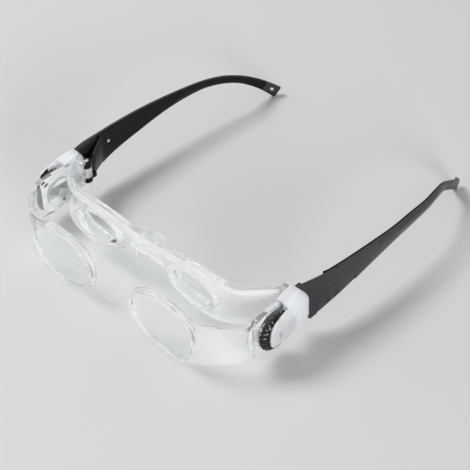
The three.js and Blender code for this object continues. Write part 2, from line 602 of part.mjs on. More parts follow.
function endCap() {
  const sections = CAP_OUTER.map(([y, outer]) => [
    [CAP.rootInner, CAP.bottom],
    [outer - CAP_EDGE.low, CAP.bottom],
    [outer, CAP.bottom + CAP_EDGE.low],
    [outer, CAP.crease],
    [outer - CAP_EDGE.bevel, CAP.top - CAP_EDGE.high],
    [outer - CAP_EDGE.bevel - CAP_EDGE.high, CAP.top],
    [CAP.rootInner, CAP.top],
  ].map(([x, z]) => new THREE.Vector3(x, y, z)));
  const side = new THREE.Shape();
  side.moveTo(...CAP_FRONT_EDGE[0]);
  side.lineTo(...CAP_FRONT_EDGE[1]);
  side.splineThru(CAP_FRONT_EDGE.slice(2).map(([y, z]) => new THREE.Vector2(y, z)));
  side.lineTo(CAP_CHIN.y, CAP_CHIN.z);
  side.lineTo(CAP_CHIN.y, CAP.bottom - 1);
  side.lineTo(HINGE.y + BEYOND, CAP.bottom - 1);
  side.lineTo(HINGE.y + BEYOND, CAP.top + 1);
  const blank = loft(sections).intersect(prism('x', side, CAP.rootInner - 1, OUTSIDE));
  const rear = prism('x', fishtailShape(-1), CAP.rootInner - 1, OUTSIDE);
  const wheelWell = prism('x', circle(WHEEL.y, WHEEL.z, WHEEL_WELL_RADIUS, DISC_SEGMENTS), INSIDE, CAP.wall);
  const plateWell = box(INSIDE, PLATE.outer + SEAT_GAP, 0, CAP.rootFront, 0, HOOD_WELL.high);
  const hoodWell = box(INSIDE, HOOD_WELL.outer, 0, CAP.rootFront, HOOD_WELL.low, HOOD_WELL.high);
  const hingeWell = prism('z', circle(HINGE.x, HINGE.y, HINGE.radius + 2 * SEAT_GAP), 0, CAP.top + 1);
  const axleBore = prism('x', circle(WHEEL.y, WHEEL.z, HUB.bore), INSIDE, AXLE.tip + BORE_GAP);
  let cap = cut(blank, rear, wheelWell, plateWell, hoodWell, hingeWell, axleBore);
  for (const height of Object.values(CAP_SCREW_HEIGHTS)) {
    const bore = circle(CAP_SCREW.y, height, CAP_SCREW.bore);
    cap = cap.subtract(prism('x', bore, INSIDE, CAP_SCREW.tip + SEAT_GAP));
  }
  return cap;
}

// Temple
const templeTop = new THREE.CatmullRomCurve3(TEMPLE_STATIONS.map((s) => new THREE.Vector3(...s.top)));
const templeBottom = new THREE.CatmullRomCurve3(TEMPLE_STATIONS.map((s) => new THREE.Vector3(...s.bottom)));

const SKIN_DEPTH = -TEMPLE_THICKNESS / 2;
const SHELL_BACK = SKIN_DEPTH + SHELL_THICKNESS;

// Sections of a layer of the temple, between depths near and far inward of the middle surface. The
// layer is set in from both edges by inset, bulges outward at the crease and leans in at the belly.
function templeSections(from, to, near, far, inset, bulge, lean) {
  const sections = [];
  const steps = Math.ceil(TEMPLE_STEPS * (to - from));
  for (let i = 0; i <= steps; i++) {
    const share = from + (i / steps) * (to - from);
    const top = templeTop.getPoint(share);
    const bottom = templeBottom.getPoint(share);
    const up = top.clone().sub(bottom);
    const height = up.length();
    up.normalize();
    const along = templeTop.getTangent(share).add(templeBottom.getTangent(share)).normalize();
    const outward = new THREE.Vector3().crossVectors(along, up).normalize();
    const slim = 1 - TIP_SLIMMING * share;
    const [nearDepth, farDepth] = [near(top.y), far(top.y)].map((depth) => depth * slim);
    const edge = TEMPLE_EDGE * slim;
    const profile = [
      [nearDepth + edge, height - inset],
      [nearDepth, height - inset - edge],
      [nearDepth - bulge * slim, height * TEMPLE_CREASE.height],
      [nearDepth, inset + edge],
      [nearDepth + edge, inset],
      [farDepth - (edge + lean) * slim, inset],
      [farDepth - lean * slim, inset + edge],
      [farDepth, height * CORE_BELLY.height],
      [farDepth, height - inset - edge],
      [farDepth - edge, height - inset],
    ];
    sections.push(profile.map(([depth, rise]) => {
      return bottom.clone().addScaledVector(up, rise).addScaledVector(outward, -depth);
    }));
  }
  return sections;
}

// X of the temple's middle surface at a given y
const templeMiddle = (y) => {
  const share = templeTop.getPoints(CURVE_SAMPLES).findIndex((p) => p.y > y) / CURVE_SAMPLES;
  return (templeTop.getPoint(share).x + templeBottom.getPoint(share).x) / 2;
};

function panelShape() {
  const shape = new THREE.Shape();
  const { front, back, frontTop, backTop, low, corner } = PANEL;
  shape.moveTo(front, low);
  shape.lineTo(back, low);
  shape.lineTo(back, backTop);
  shape.lineTo(front + corner, frontTop);
  shape.quadraticCurveTo(front, frontTop, front, frontTop - corner);
  return shape;
}

function templeShell() {
  const skin = (near) => loft(templeSections(
    0, TIP_SEAM.shellEnd, () => near, () => SHELL_BACK, 0, TEMPLE_CREASE.bulge, 0));
  const panel = prism('x', panelShape(), HINGE.x, OUTSIDE).subtract(skin(SKIN_DEPTH + PANEL.depth));
  const front = prism('x', fishtailShape(1), INSIDE, OUTSIDE);
  const notchSpan = [TOP_NOTCH.y, TOP_NOTCH.y + TOP_NOTCH.width];
  const notch = box(INSIDE, OUTSIDE, ...notchSpan, TEMPLE_STATIONS[2].top[2] - TOP_NOTCH.depth, CAP.top + 1);
  const rivetEnd = templeMiddle(RIVET.y) - SHELL_BACK + RIVET.tipDepth;
  const rivetBore = prism('x', circle(RIVET.y, RIVET.z, RIVET.radius + BORE_GAP), INSIDE, rivetEnd + BORE_GAP);
  return cut(skin(SKIN_DEPTH), panel, front, notch, rivetBore);
}

// The inner layer stands clear of the shell and grows thicker towards the hinge, which opens the
// slot seen from above
const hingeShare = (y) => THREE.MathUtils.clamp(
  (CORE_FRONT.reach - y) / (CORE_FRONT.reach - CORE_FRONT.y), 0, 1);
const coreNear = (y) => SHELL_BACK + SEAT_GAP + CORE_FRONT.spread * hingeShare(y);
const coreFar = (y) => coreNear(y) + CORE_THICKNESS + CORE_FRONT.thickening * hingeShare(y);

function templeCore() {
  const layer = loft(templeSections(0, TIP_SEAM.shellEnd, coreNear, coreFar, CORE_INSET, 0, CORE_BELLY.lean));
  const front = box(INSIDE, OUTSIDE, 0, CORE_FRONT.y, 0, CAP.top + 1);
  const slope = prism('x', polygon([
    [0, CORE_SLOPE.lowZ],
    [CORE_SLOPE.lowY, CORE_SLOPE.lowZ],
    [CORE_SLOPE.highY, CORE_SLOPE.highZ],
    [CORE_SLOPE.highY, CORE_SLOPE.highZ + BEYOND],
    [0, CORE_SLOPE.highZ + BEYOND],
  ]), INSIDE, OUTSIDE);
  const undercut = prism('x', polygon([
    [0, 0],
    [CORE_UNDERCUT.backY, 0],
    [CORE_UNDERCUT.backY, CORE_UNDERCUT.backZ],
    [CORE_FRONT.y, CORE_UNDERCUT.frontZ],
    [0, CORE_UNDERCUT.frontZ],
  ]), INSIDE, OUTSIDE);
  let core = cut(layer, front, slope, undercut);
  for (const ear of [EAR_UPPER, EAR_LOWER]) {
    const barrel = prism('z', circle(HINGE.x, HINGE.y, HINGE.radius), ear.low, ear.high);
    const across = [HINGE.x - EAR_ARM_HALF, HINGE.x + EAR_ARM_HALF];
    const arm = box(...across, HINGE.y, CORE_FRONT.y + 2, ear.low, ear.high);
    core = join(core, barrel, arm);
  }
  const pinBore = prism('z', circle(HINGE.x, HINGE.y, HINGE.bore), 0, CAP.top);
  const rivetBore = prism('x', circle(RIVET.y, RIVET.z, RIVET.radius + BORE_GAP), INSIDE, OUTSIDE);
  return cut(core, pinBore, rivetBore);
}

function templeTip() {
  const start = TIP_SEAM.tipStart;
  const tip = loft(templeSections(
    start, 1, () => SKIN_DEPTH, () => -SKIN_DEPTH, 0, TEMPLE_CREASE.bulge, 0));
  const share = start + (1 - start) * EYELET.share;
  const top = templeTop.getPoint(share);
  const bottom = templeBottom.getPoint(share);
  const centre = top.clone().add(bottom).divideScalar(2);
  const up = top.clone().sub(bottom).normalize();
  const along = templeTop.getTangent(share).normalize();
  const outward = new THREE.Vector3().crossVectors(along, up).normalize();
  const run = new THREE.Vector3().crossVectors(up, outward);
  const oval = new THREE.Shape().absellipse(0, 0, EYELET.halfLength, EYELET.halfHeight, 0, 2 * Math.PI);
  const options = { depth: 2 * BEYOND, bevelEnabled: false, curveSegments: ROUND_SEGMENTS };
  const hole = new THREE.ExtrudeGeometry(oval, options).translate(0, 0, -BEYOND);
  hole.applyMatrix4(new THREE.Matrix4().makeBasis(run, up, outward).setPosition(centre));
  return cut(tip, toSolid(hole), belowFloor());
}

function hingePin() {
  const headTop = HINGE_PIN.high + HINGE_PIN.headHeight;
  const shank = prism('z', circle(0, 0, HINGE_PIN.radius), HINGE_PIN.low, headTop);
  return shank.add(prism('z', circle(0, 0, HINGE_PIN.headRadius), HINGE_PIN.high, headTop));
}

function rivet() {
  const middle = templeMiddle(RIVET.y);
  const headOuter = middle - coreFar(RIVET.y) - SEAT_GAP;
  const headInner = headOuter - RIVET.headHeight;
  const shank = prism('x', circle(0, 0, RIVET.radius), headInner, middle - SHELL_BACK + RIVET.tipDepth);
  const head = prism('x', circle(0, 0, RIVET.headRadius), headInner, headOuter);
  return shank.add(head);
}

// Assembly
const glasses = new THREE.Group();
glasses.position.set(0, -ORIGIN_DEPTH, 0);

function addPart(parent, name, solid, finish, sign = 1) {
  const geometry = toGeometry(solid);
  if (sign < 0) {
    geometry.scale(-1, 1, 1);
    geometry.index.array.reverse();
  }
  geometry.computeVertexNormals();
  const mesh = new THREE.Mesh(geometry, finish);
  mesh.name = name;
  parent.add(mesh);
  return mesh;
}

addPart(glasses, 'rear_frame', rearFrame(), MATERIALS.clear);
addPart(glasses, 'nose_saddle', noseSaddle(), MATERIALS.silicone);

const objectiveLens = lensBlank(OBJECTIVE, RIM.width + SEAT_GAP, OBJECTIVE_LENS);
const eyepieceLens = lensBlank(EYEPIECE, SEAT_GAP, EYEPIECE_LENS);
const sideParts = [
  ['carrier', carrier(), MATERIALS.clear],
  ['objective_lens', objectiveLens, MATERIALS.lens, [OBJECTIVE.x, 0, OBJECTIVE.z]],
  ['eyepiece_lens', eyepieceLens, MATERIALS.lens, [EYEPIECE.x, EYEPIECE.y, EYEPIECE.z]],
  ['focus_wheel', knurledRing(), MATERIALS.black, [0, WHEEL.y, WHEEL.z]],
  ['wheel_hub', wheelHub(), MATERIALS.black, [0, WHEEL.y, WHEEL.z]],
  ['axle_screw', crossScrew(AXLE, DISC_SEGMENTS), MATERIALS.steel, [0, WHEEL.y, WHEEL.z]],
  ['guide_disc', flatDisc(GUIDE_DISC, DISC_SEGMENTS), MATERIALS.clear, [0, WHEEL.y, WHEEL.z]],
  ['wave_washer', flatDisc(WAVE_WASHER, ROUND_SEGMENTS), MATERIALS.steel, [0, WHEEL.y, WHEEL.z]],
  ['end_cap', endCap(), MATERIALS.milky],
  ['cap_screw_upper', crossScrew(CAP_SCREW), MATERIALS.steel, [0, CAP_SCREW.y, CAP_SCREW_HEIGHTS.upper]],
  ['cap_screw_lower', crossScrew(CAP_SCREW), MATERIALS.steel, [0, CAP_SCREW.y, CAP_SCREW_HEIGHTS.lower]],
  ['temple_shell', templeShell(), MATERIALS.anthracite],
  ['temple_core', templeCore(), MATERIALS.anthracite],
  ['temple_tip', templeTip(), MATERIALS.anthracite],
  ['temple_rivet', rivet(), MATERIALS.steel, [0, RIVET.y, RIVET.z]],
  ['hinge_pin', hingePin(), MATERIALS.steel, [HINGE.x, HINGE.y, 0]],
];
for (const { label, sign } of SIDES) {
  const group = new THREE.Group();
  for (const [name, solid, finish, place = [0, 0, 0]] of sideParts) {
    const mesh = addPart(group, `${name}_${label}`, solid, finish, sign);
    mesh.position.set(sign * place[0], place[1], place[2]);
  }
  glasses.add(group);
}

export default glasses;
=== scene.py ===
"""Binocular glasses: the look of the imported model, on a pale studio floor.

Shapes are written in millimetres in the working frame of the model, where Y starts at the front of
the objective rims, and become metres in the row frame as each mesh is made.
"""

import json
import math

import bmesh
import bpy
import numpy as np
from mathutils import Matrix, Vector

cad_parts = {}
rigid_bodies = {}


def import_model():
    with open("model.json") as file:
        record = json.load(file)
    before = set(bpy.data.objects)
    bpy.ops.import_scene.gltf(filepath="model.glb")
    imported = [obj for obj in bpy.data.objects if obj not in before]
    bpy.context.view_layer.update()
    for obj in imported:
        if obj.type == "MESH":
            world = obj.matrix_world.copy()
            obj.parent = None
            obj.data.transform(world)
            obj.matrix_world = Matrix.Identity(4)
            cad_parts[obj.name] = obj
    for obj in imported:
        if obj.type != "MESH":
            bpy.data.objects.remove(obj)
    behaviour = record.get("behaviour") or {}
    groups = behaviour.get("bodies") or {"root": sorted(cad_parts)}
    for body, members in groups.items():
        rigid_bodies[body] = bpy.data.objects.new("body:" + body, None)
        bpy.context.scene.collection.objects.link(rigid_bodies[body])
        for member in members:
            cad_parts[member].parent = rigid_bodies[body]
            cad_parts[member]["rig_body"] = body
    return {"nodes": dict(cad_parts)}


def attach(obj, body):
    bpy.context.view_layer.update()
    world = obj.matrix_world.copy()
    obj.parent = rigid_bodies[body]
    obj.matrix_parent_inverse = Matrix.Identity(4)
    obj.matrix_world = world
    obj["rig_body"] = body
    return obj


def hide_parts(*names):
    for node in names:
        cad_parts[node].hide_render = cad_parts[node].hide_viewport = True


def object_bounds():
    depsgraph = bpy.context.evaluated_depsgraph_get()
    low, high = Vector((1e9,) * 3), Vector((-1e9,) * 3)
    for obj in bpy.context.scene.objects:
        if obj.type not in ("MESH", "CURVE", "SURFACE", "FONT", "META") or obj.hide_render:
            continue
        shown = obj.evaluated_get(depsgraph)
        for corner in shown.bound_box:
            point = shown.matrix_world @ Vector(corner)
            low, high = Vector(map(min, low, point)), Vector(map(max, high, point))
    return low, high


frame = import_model()
cad_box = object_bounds()

MM = 0.001
SIGNS = (1, -1)

# Driving dimensions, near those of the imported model
ORIGIN_DEPTH = 96.8
SEAT_GAP = 0.3
BORE_GAP = 0.1
# Reach of the tools: just past a face, well past the part, and the planes that clear one side
PAST = 1
BEYOND = 10
INSIDE = 60
OUTSIDE = 90
ABOVE_ALL = 36

# Fullness runs from the outer top quadrant to the nose side and round to the outer bottom
OBJECTIVE = {"place": (33.6, 0, 15.95), "half": (21.5, 16.1), "fullness": (2.5, 2.3, 1.85, 2.2)}
EYEPIECE = {"place": (31.8, 26, 22.3), "half": (13.4, 7.3), "fullness": (2.3, 2.3, 2.3, 2.3)}
RIM = {"width": 1.5, "depth": 4, "bevel": 0.5, "ledge": 1, "ledge_depth": 1}
OBJECTIVE_LENS = {"front_edge": 1.2, "front_sag": 2.2, "back_edge": 2.7, "back_sag": 0.6}
EYEPIECE_LENS = {"front_edge": -1.8, "front_sag": -1.1, "back_edge": 2, "back_sag": -1.1}
BOSS = {"wall": 1.6, "front": -3.6, "back": 3.6, "bevel": 0.9}

WHEEL = {"y": 31.2, "z": 19.1, "radius": 10, "inner": 74.6, "outer": 78, "ridges": 24, "ridge_height": 0.6}
WHEEL_CHAMFER = {"inner": 0.4, "cone_start": 76.6, "cone_drop": 1.7}
# One ridge and the valley after it: share of the pitch, and share of the ridge's height below its crest
RIDGE_PROFILE = [
    (0.02, 0.75), (0.1, 0.25), (0.22, 0), (0.38, 0), (0.5, 0.25), (0.58, 0.75), (0.66, 1), (0.94, 1),
]
HUB = {"radius": 7.4, "inner": 74.6, "outer": 77.8, "bore": 1.1}
RING_BORE = HUB["radius"] + SEAT_GAP

GEAR_MODULE = 0.7
PINION_TEETH = 8
PRESSURE_ANGLE = math.radians(25)
PITCH_RADIUS = GEAR_MODULE * PINION_TEETH / 2
RACK_PITCH = math.pi * GEAR_MODULE
RACK_TEETH = 6
TOOTH = {"pinion_tip": 0.55, "pinion_root": 0.8, "rack_tip": 0.45, "rack_root": 0.8, "backlash": 0.16}
SLIDE_TRAVEL = 3

PLATE = {"inner": 70.6, "outer": 73, "front": 20.2, "back": 40, "low_radius": 11.7, "shoulder": 2.6}
HOOD = {"outer": 74.6, "underside": 10.5, "top": 11.2, "front_angle": 119, "chamfer": 1.5}
HOOD_CENTRE_Y = WHEEL["y"] - SLIDE_TRAVEL
SLOT = {"half_length": 6.9, "top": 3.8}
# Slide plate and hood carry thin frosted layers, the plate's within a round about the axle
FROST = {"radius": 12, "front": 20.2, "depth": 0.5, "seam": 0.03}
WINDOW = {"inner": 71.2, "front": 28.6}
# The corner ahead of the wheel holds two thin layers, the inner one dark: painted shade standing for the
# dark wheel seen through the clear plastic
CORNER = {"y": 27.5, "z": 20.2, "radius": 10.6, "back": 21.6}
CORNER_PAINTED_SHADE = {"inner": 71.9, "outer": 72.2}
CORNER_LIGHT = {"inner": 72.25, "outer": 72.6}
# Pin ends on the plate as y, z and radius; their black is painted shade of recesses
PLATE_PIN_SHADES = {"axle_end": (30.2, 18.2, 1.0), "rack_end": (33.5, 12.7, 0.9)}
PLATE_PIN_TOP = 70.2
# Guide lines on the plate as (y, z) of both ends
GUIDE_LINES = [((20.8, 28.8), (22.8, 29.3)), ((22.4, 26.5), (24.8, 27.3))]
GUIDE_LINE_SIZE = 0.8

AXLE = {"radius": 1, "head_radius": 2.7, "head_inner": 66.7, "head_outer": 68.2, "tip": 79.2}
GUIDE_DISC = {"radius": 8.2, "bore": 1.25, "inner": 68.5, "outer": 70.3}
WAVE_WASHER = {"radius": 2.1, "bore": 1.3, "inner": 70.45, "outer": 70.8}
PINION_INNER = 71
SCREW_SLOT_SHARE = 0.14

HINGE = {"x": 70, "y": 49.8, "radius": 3, "bore": 0.85}
KNUCKLE = {"low": 18.6, "high": 24.4, "web_half": 1.1}
EARS = {"upper": (24.7, 27.6), "lower": (15.5, 18.3)}
EAR_ARM_HALF = 1.2
HINGE_PIN = {"radius": 0.75, "low": 15.3, "high": 27.8, "head_radius": 1.5, "head_height": 0.7}

CAP = {"wall": 78.3, "bottom": 13.5, "crease": 27.2, "root_inner": 71.3, "root_front": 43.4}
CAP_EDGE = {"bevel": 1.8, "low": 0.6, "high": 0.8}
# Stations of the end cap from front to back: y, outer face, top
CAP_STATIONS = [
    (23, 79.4, 32.1), (30, 79.7, 32.1), (36.6, 79.7, 32.1), (40, 79.5, 33),
    (44, 79, 33.8), (48, 78.1, 34.1), (54, 77, 34.1),
]
# The end cap's front edge and the chin below it, as (y, z)
CAP_FRONT_EDGE = [(36.9, 33.2), (36.6, 31.4), (31.4, 29), (27, 26.8), (25.1, 23), (24.8, 18.8)]
CAP_CHIN = [(25.3, 15.4), (26.8, 13.9)]
# Painted shade: a dark band inside the cap's wall, along its front edge, stands a little ahead of that edge
EDGE_SHADE = {"inner": 78.05, "lip": 0.35, "depth": 1.8, "end": (33, 13.4)}
WHEEL_WELL_RADIUS = 10.5
HOOD_WELL = {"outer": 75, "low": 26.4, "high": 30.8}
CAP_SCREW = {"radius": 0.8, "head_radius": 1.5, "head_inner": 66.3, "head_outer": 67.3, "tip": 75.5}
CAP_SCREW_Y = 45
CAP_SCREW_BORE = 0.95
CAP_SCREW_HEIGHTS = {"upper": 30, "lower": 21}
END_BLOCK = {"inner": 67.6, "outer": 71, "front": 43.7, "back": 46.4, "low": 15, "high": 33}
# Joint line between end cap and temple, as (y, z)
FISHTAIL = [(55.4, 7), (54, 12), (53.5, 18), (53, 24), (50.9, 29), (47.9, 33), (44, 38)]
FISHTAIL_HALF_GAP = 0.2

# Upper and lower line of the temple from hinge to tip: x, y, z
TEMPLE_TOP = [
    (73.2, 44.5, 34.7), (75.6, 55, 34.2), (77, 65, 33.2), (77.9, 76, 32.7), (78.8, 97, 31.6),
    (78.7, 115, 30.2), (77.5, 130, 29.2), (76.1, 145, 27.6), (73.5, 157.5, 25.5), (70.8, 168, 21.9),
    (69.4, 178, 16.5), (67.2, 187, 10.7), (62.6, 194, 5.4),
]
TEMPLE_BOTTOM = [
    (75, 50, 9.2), (76.3, 58.5, 11), (77.5, 66.5, 13.5), (78.3, 76, 15.7), (78.4, 96, 19.2),
    (78.3, 115, 21.9), (77.9, 130, 22.8), (76.7, 144, 22.7), (74.4, 154.5, 21.4), (71.8, 164, 18.7),
    (70.1, 173.5, 13.4), (67.8, 182, 7.3), (64.4, 190.2, 0),
]
TEMPLE_CREASE = {"height": 0.58, "bulge": 0.6}
TEMPLE_EDGE = 0.4
SHELL_THICKNESS = 1.6
CORE_THICKNESS = 1.1
SKIN_DEPTH = -(SHELL_THICKNESS + SEAT_GAP + CORE_THICKNESS) / 2
SHELL_BACK = SKIN_DEPTH + SHELL_THICKNESS
CORE_INSET = 0.4
CORE_BELLY = {"height": 0.5, "lean": 0.2}
TIP_SLIMMING = 0.25
TIP_SEAM = {"shell_end": 0.915, "tip_start": 0.919}
CORE_FRONT = {"y": 53.5, "reach": 66, "spread": 1.7, "thickening": 1.5}
CORE_SLOPE = {"low": (52.5, 25.2), "high": (64.5, 30.8)}
CORE_UNDERCUT = {"front_z": 16, "back": (67, 15.2)}
TOP_NOTCH = {"y": 69.5, "width": 1.4, "floor": 32.4}
PANEL = {"front": 58.5, "back": 84, "front_top": 21.5, "back_top": 20.5, "low": 9, "depth": 0.4,
         "corner": 2.5}
RIVET = {"y": 71, "z": 26.2, "radius": 0.7, "head_radius": 0.9, "head_height": 0.4, "tip_depth": 1}
EYELET = {"share": 0.62, "half_length": 1.9, "half_height": 1}

# Rear frame, one half: x, y of the back face, top, bottom, top flange reach, bottom shelf reach
FRAME_STATIONS = [
    (0, 27.4, 33.6, 21.4, 6.8, 2.4), (6, 27.4, 33.7, 21.2, 6.6, 2.4), (12, 27.5, 34, 20.4, 6.2, 2.5),
    (16, 27.7, 34.2, 17, 5.8, 2.8), (20, 28, 34.3, 14.3, 5.6, 3.4), (26, 28.2, 34.4, 12.3, 5.5, 5),
    (34, 28.4, 34.5, 11.8, 5.5, 6.2), (46, 28.6, 34.5, 12.3, 5.2, 5.8), (54, 30, 34.4, 13.6, 4.2, 4.8),
    (60, 33.8, 34.3, 14.8, 3.2, 4.2), (65, 39.5, 34.1, 15.4, 3, 2.9), (68.6, 44.6, 33.6, 15.6, 2.5, 2.5),
]
FRAME_PROFILE = {"web": 1.8, "flange": 1.9, "fillet": 0.5, "edge": 0.5}

# Carrier arm: x, y of its middle line, top, bottom
ARM_STATIONS = [
    (43, 2, 31.2, 1.2), (50, 2.2, 30.9, 2.4), (56, 3.6, 30.4, 4.2), (62, 6.8, 29.6, 6.2),
    (67.4, 11.4, 28.4, 7), (70.8, 16.6, 27.2, 7.4), (71.8, 22.4, 26.4, 7.6),
]
ARM_THICKNESS = 2.4
ARM_EDGE = 0.6

SADDLE = {"centre_z": 17, "half_width": 10.2, "height": 14, "front": 27.9, "back": 33.8, "thickness": 2.4,
          "tuck": 12}
SADDLE_PEG = {"x": 4.6, "z": 29.5, "radius": 0.6, "front": 26.5, "back": 30.6}

# Fineness of the curves
OVAL_POINTS = 96
ROUND_POINTS = 32
DISC_POINTS = 96
SHOULDER_POINTS = 13
PANEL_POINTS = 9
FRAME_STEPS = 150
ARM_STEPS = 40
CAP_STEPS = 40
CAP_EDGE_STEPS = 32
FISHTAIL_STEPS = 48
TEMPLE_STEPS = 90
TEMPLE_LINE_STEPS = 1000
TEMPLE_MIDDLE_STEPS = 400
SADDLE_STEPS = 48
LENS_RINGS = 10
EDGE_SEGMENTS = 2

# Camera, fitted to the photograph: angles in degrees, place in metres
CAMERA = {"azimuth": 42.5, "elevation": 41.0, "roll": 0.31, "place": (0.32283, -0.36212, 0.41079)}
SENSOR_WIDTH = 36.0
LENS_LENGTH = 93.79
CLIP_RANGE = (0.01, 20)


def add_object(name, data):
    item = bpy.data.objects.new(name, data)
    bpy.context.scene.collection.objects.link(item)
    return item


def add_camera():
    azimuth, elevation, roll = (math.radians(CAMERA[k]) for k in ("azimuth", "elevation", "roll"))
    back = Vector((math.sin(azimuth) * math.cos(elevation),
                   -math.cos(azimuth) * math.cos(elevation),
                   math.sin(elevation)))
    level = Vector((math.cos(azimuth), math.sin(azimuth), 0))
    upright = back.cross(level)
    right = math.cos(roll) * level + math.sin(roll) * upright
    up = math.cos(roll) * upright - math.sin(roll) * level
    data = bpy.data.cameras.new("camera")
    data.sensor_width = SENSOR_WIDTH
    data.lens = LENS_LENGTH
    data.clip_start, data.clip_end = CLIP_RANGE
    camera = add_object("camera", data)
    turn = Matrix((right, up, back)).transposed().to_4x4()
    camera.matrix_world = Matrix.Translation(CAMERA["place"]) @ turn
    bpy.context.scene.camera = camera


add_camera()


# Shape tools
def catmull(points, steps, power=0.25):
    """A smooth line through the points; power 0.25 spaces it centripetally and 0 evenly."""
    points = np.array(points, float)
    extended = np.vstack([2 * points[0] - points[1], points, 2 * points[-1] - points[-2]])
    line = []
    for share in np.linspace(0, len(points) - 1, steps + 1):
        span = min(int(share), len(points) - 2)
        t = share - span
        before, start, end, after = extended[span:span + 4]
        d0, d1, d2 = (np.sum((b - a) ** 2) ** power for a, b in
                      ((before, start), (start, end), (end, after)))
        leave = ((start - before) / d0 - (end - before) / (d0 + d1) + (end - start) / d1) * d1
        arrive = ((end - start) / d1 - (after - start) / (d1 + d2) + (after - end) / d2) * d1
        line.append(start + leave * t + (3 * (end - start) - 2 * leave - arrive) * t ** 2
                    + (2 * (start - end) + leave + arrive) * t ** 3)
    return np.array(line)


def tangents(line):
    steps = np.gradient(line, axis=0)
    return steps / np.linalg.norm(steps, axis=1, keepdims=True)


def unit(vector):
    return vector / np.linalg.norm(vector)


def loft(sections):
    """A closed solid skinned over a row of closed sections."""
    count = len(sections[0])
    points = [tuple(p) for section in sections for p in section]
    faces = []
    for ring in range(len(sections) - 1):
        for i in range(count):
            a, b = ring * count + i, ring * count + (i + 1) % count
            faces.append((a, b, b + count, a + count))
    faces.append(tuple(range(count))[::-1])
    faces.append(tuple(range(len(points) - count, len(points))))
    mesh = bpy.data.meshes.new("form")
    mesh.from_pydata(points, [], faces)
    shape = bmesh.new()
    shape.from_mesh(mesh)
    bmesh.ops.recalc_face_normals(shape, faces=shape.faces)
    shape.to_mesh(mesh)
    shape.free()
    return mesh


def prism(axis, outline, start, end):
    """An outline of (y, z), (x, z) or (x, y) pairs drawn out along x, y or z."""
    order = {"x": lambda u, v, w: (w, u, v), "y": lambda u, v, w: (u, w, v), "z": lambda u, v, w: (u, v, w)}
    return loft([[order[axis](u, v, w) for u, v in outline] for w in (start, end)])


def box(x0, x1, y0, y1, z0, z1):
    return prism("z", [(x0, y0), (x1, y0), (x1, y1), (x0, y1)], z0, z1)


def arc(u, v, radius, start, end, count=ROUND_POINTS):
    """Points of a circular arc, with the angles in degrees."""
    return [(u + radius * math.cos(a), v + radius * math.sin(a))
            for a in np.radians(np.linspace(start, end, count))]


def circle(u, v, radius, count=ROUND_POINTS):
    return arc(u, v, radius, 0, 360 * (1 - 1 / count), count)


def combine(base, joined=(), cut=()):
    """The base solid with others joined to it and then cut from it."""
    holder = add_object("holder", base)
    tools = []
    for meshes, operation in ((joined, "UNION"), (cut, "DIFFERENCE")):
        for mesh in meshes:
            tool = add_object("tool", mesh)
            tools.append(tool)
            modifier = holder.modifiers.new(operation, "BOOLEAN")
            modifier.operation = operation
            modifier.solver = "EXACT"
            modifier.object = tool
    evaluated = holder.evaluated_get(bpy.context.evaluated_depsgraph_get())
    result = bpy.data.meshes.new_from_object(evaluated)
    for used in [holder, *tools]:
        data = used.data
        bpy.data.objects.remove(used)
        bpy.data.meshes.remove(data)
    return result


def moved(mesh, place):
    mesh.transform(Matrix.Translation(place))
    return mesh


def mirrored(mesh):
    """The mesh turned into its own mirror image across the middle of the glasses."""
    mesh.transform(Matrix.Scale(-1, 4, (1, 0, 0)))
    mesh.flip_normals()
    return mesh


def about_axle(radius, angle):
    """The (y, z) of a point about the wheel's axle."""
    return WHEEL["y"] + radius * math.cos(angle), WHEEL["z"] + radius * math.sin(angle)


def axle_round(radius, start, end, count=ROUND_POINTS):
    """A round solid about the wheel's axle, between two x."""
    return prism("x", circle(WHEEL["y"], WHEEL["z"], radius, count), start, end)


def hinge_round(radius, low, high, sign=1):
    """A round solid about a hinge's pin, between two heights."""
    return prism("z", circle(sign * HINGE["x"], HINGE["y"], radius), low, high)


# Ovals, lenses and walls
def oval_points(oval, inset=0.0):
    """An oval about its own centre whose quadrants differ in fullness."""
    half_width, half_height = (half - inset for half in oval["half"])
    outer_top, nose_top, nose_bottom, outer_bottom = oval["fullness"]
    points = []
    for angle in np.linspace(0, 2 * math.pi, OVAL_POINTS, endpoint=False):
        c, s = math.cos(angle), math.sin(angle)
        upper, lower = (outer_top, outer_bottom) if c >= 0 else (nose_top, nose_bottom)
        power = 2 / (upper if s >= 0 else lower)
        points.append((math.copysign(abs(c) ** power * half_width, c),
                       math.copysign(abs(s) ** power * half_height, s)))
    return points


def oval_solid(oval, stops):
    """A solid with the oval's sections at stops of (inset, y), set at its place."""
    mesh = loft([[(u, y, v) for u, v in oval_points(oval, inset)] for inset, y in stops])
    return moved(mesh, oval["place"])


def lens(oval, inset, faces):
    """A lens whose faces bulge by their sag between edge and middle, or are hollow if it is negative."""
    outline = oval_points(oval, inset)
    shares = np.linspace(0, 1, LENS_RINGS + 1)[1:]

    def ring(share, edge, sag):
        y = edge + sag * (1 - share ** 2)
        return [(u * share, y, v * share) for u, v in outline]

    front = [ring(f, faces["front_edge"], -faces["front_sag"]) for f in shares]
    back = [ring(f, faces["back_edge"], faces["back_sag"]) for f in shares[::-1]]
    return moved(loft(front + back), oval["place"])


def wall(plan, rest, steps, profile):
    """A wall along a plan line of (x, y, top); rest holds what else the profile needs.

    The profile gives pairs of how far forward of the plan line, and height."""
    line = catmull(plan, steps)
    others = catmull(rest, steps)
    sections = []
    for place, along, values in zip(line, tangents(line), others):
        along = unit(np.array([along[0], along[1], 0]))
        forward = np.array([along[1], -along[0], 0])
        sections.append([np.array([place[0], place[1], z]) + offset * forward
                         for offset, z in profile(place[2], *values)])
    return loft(sections)


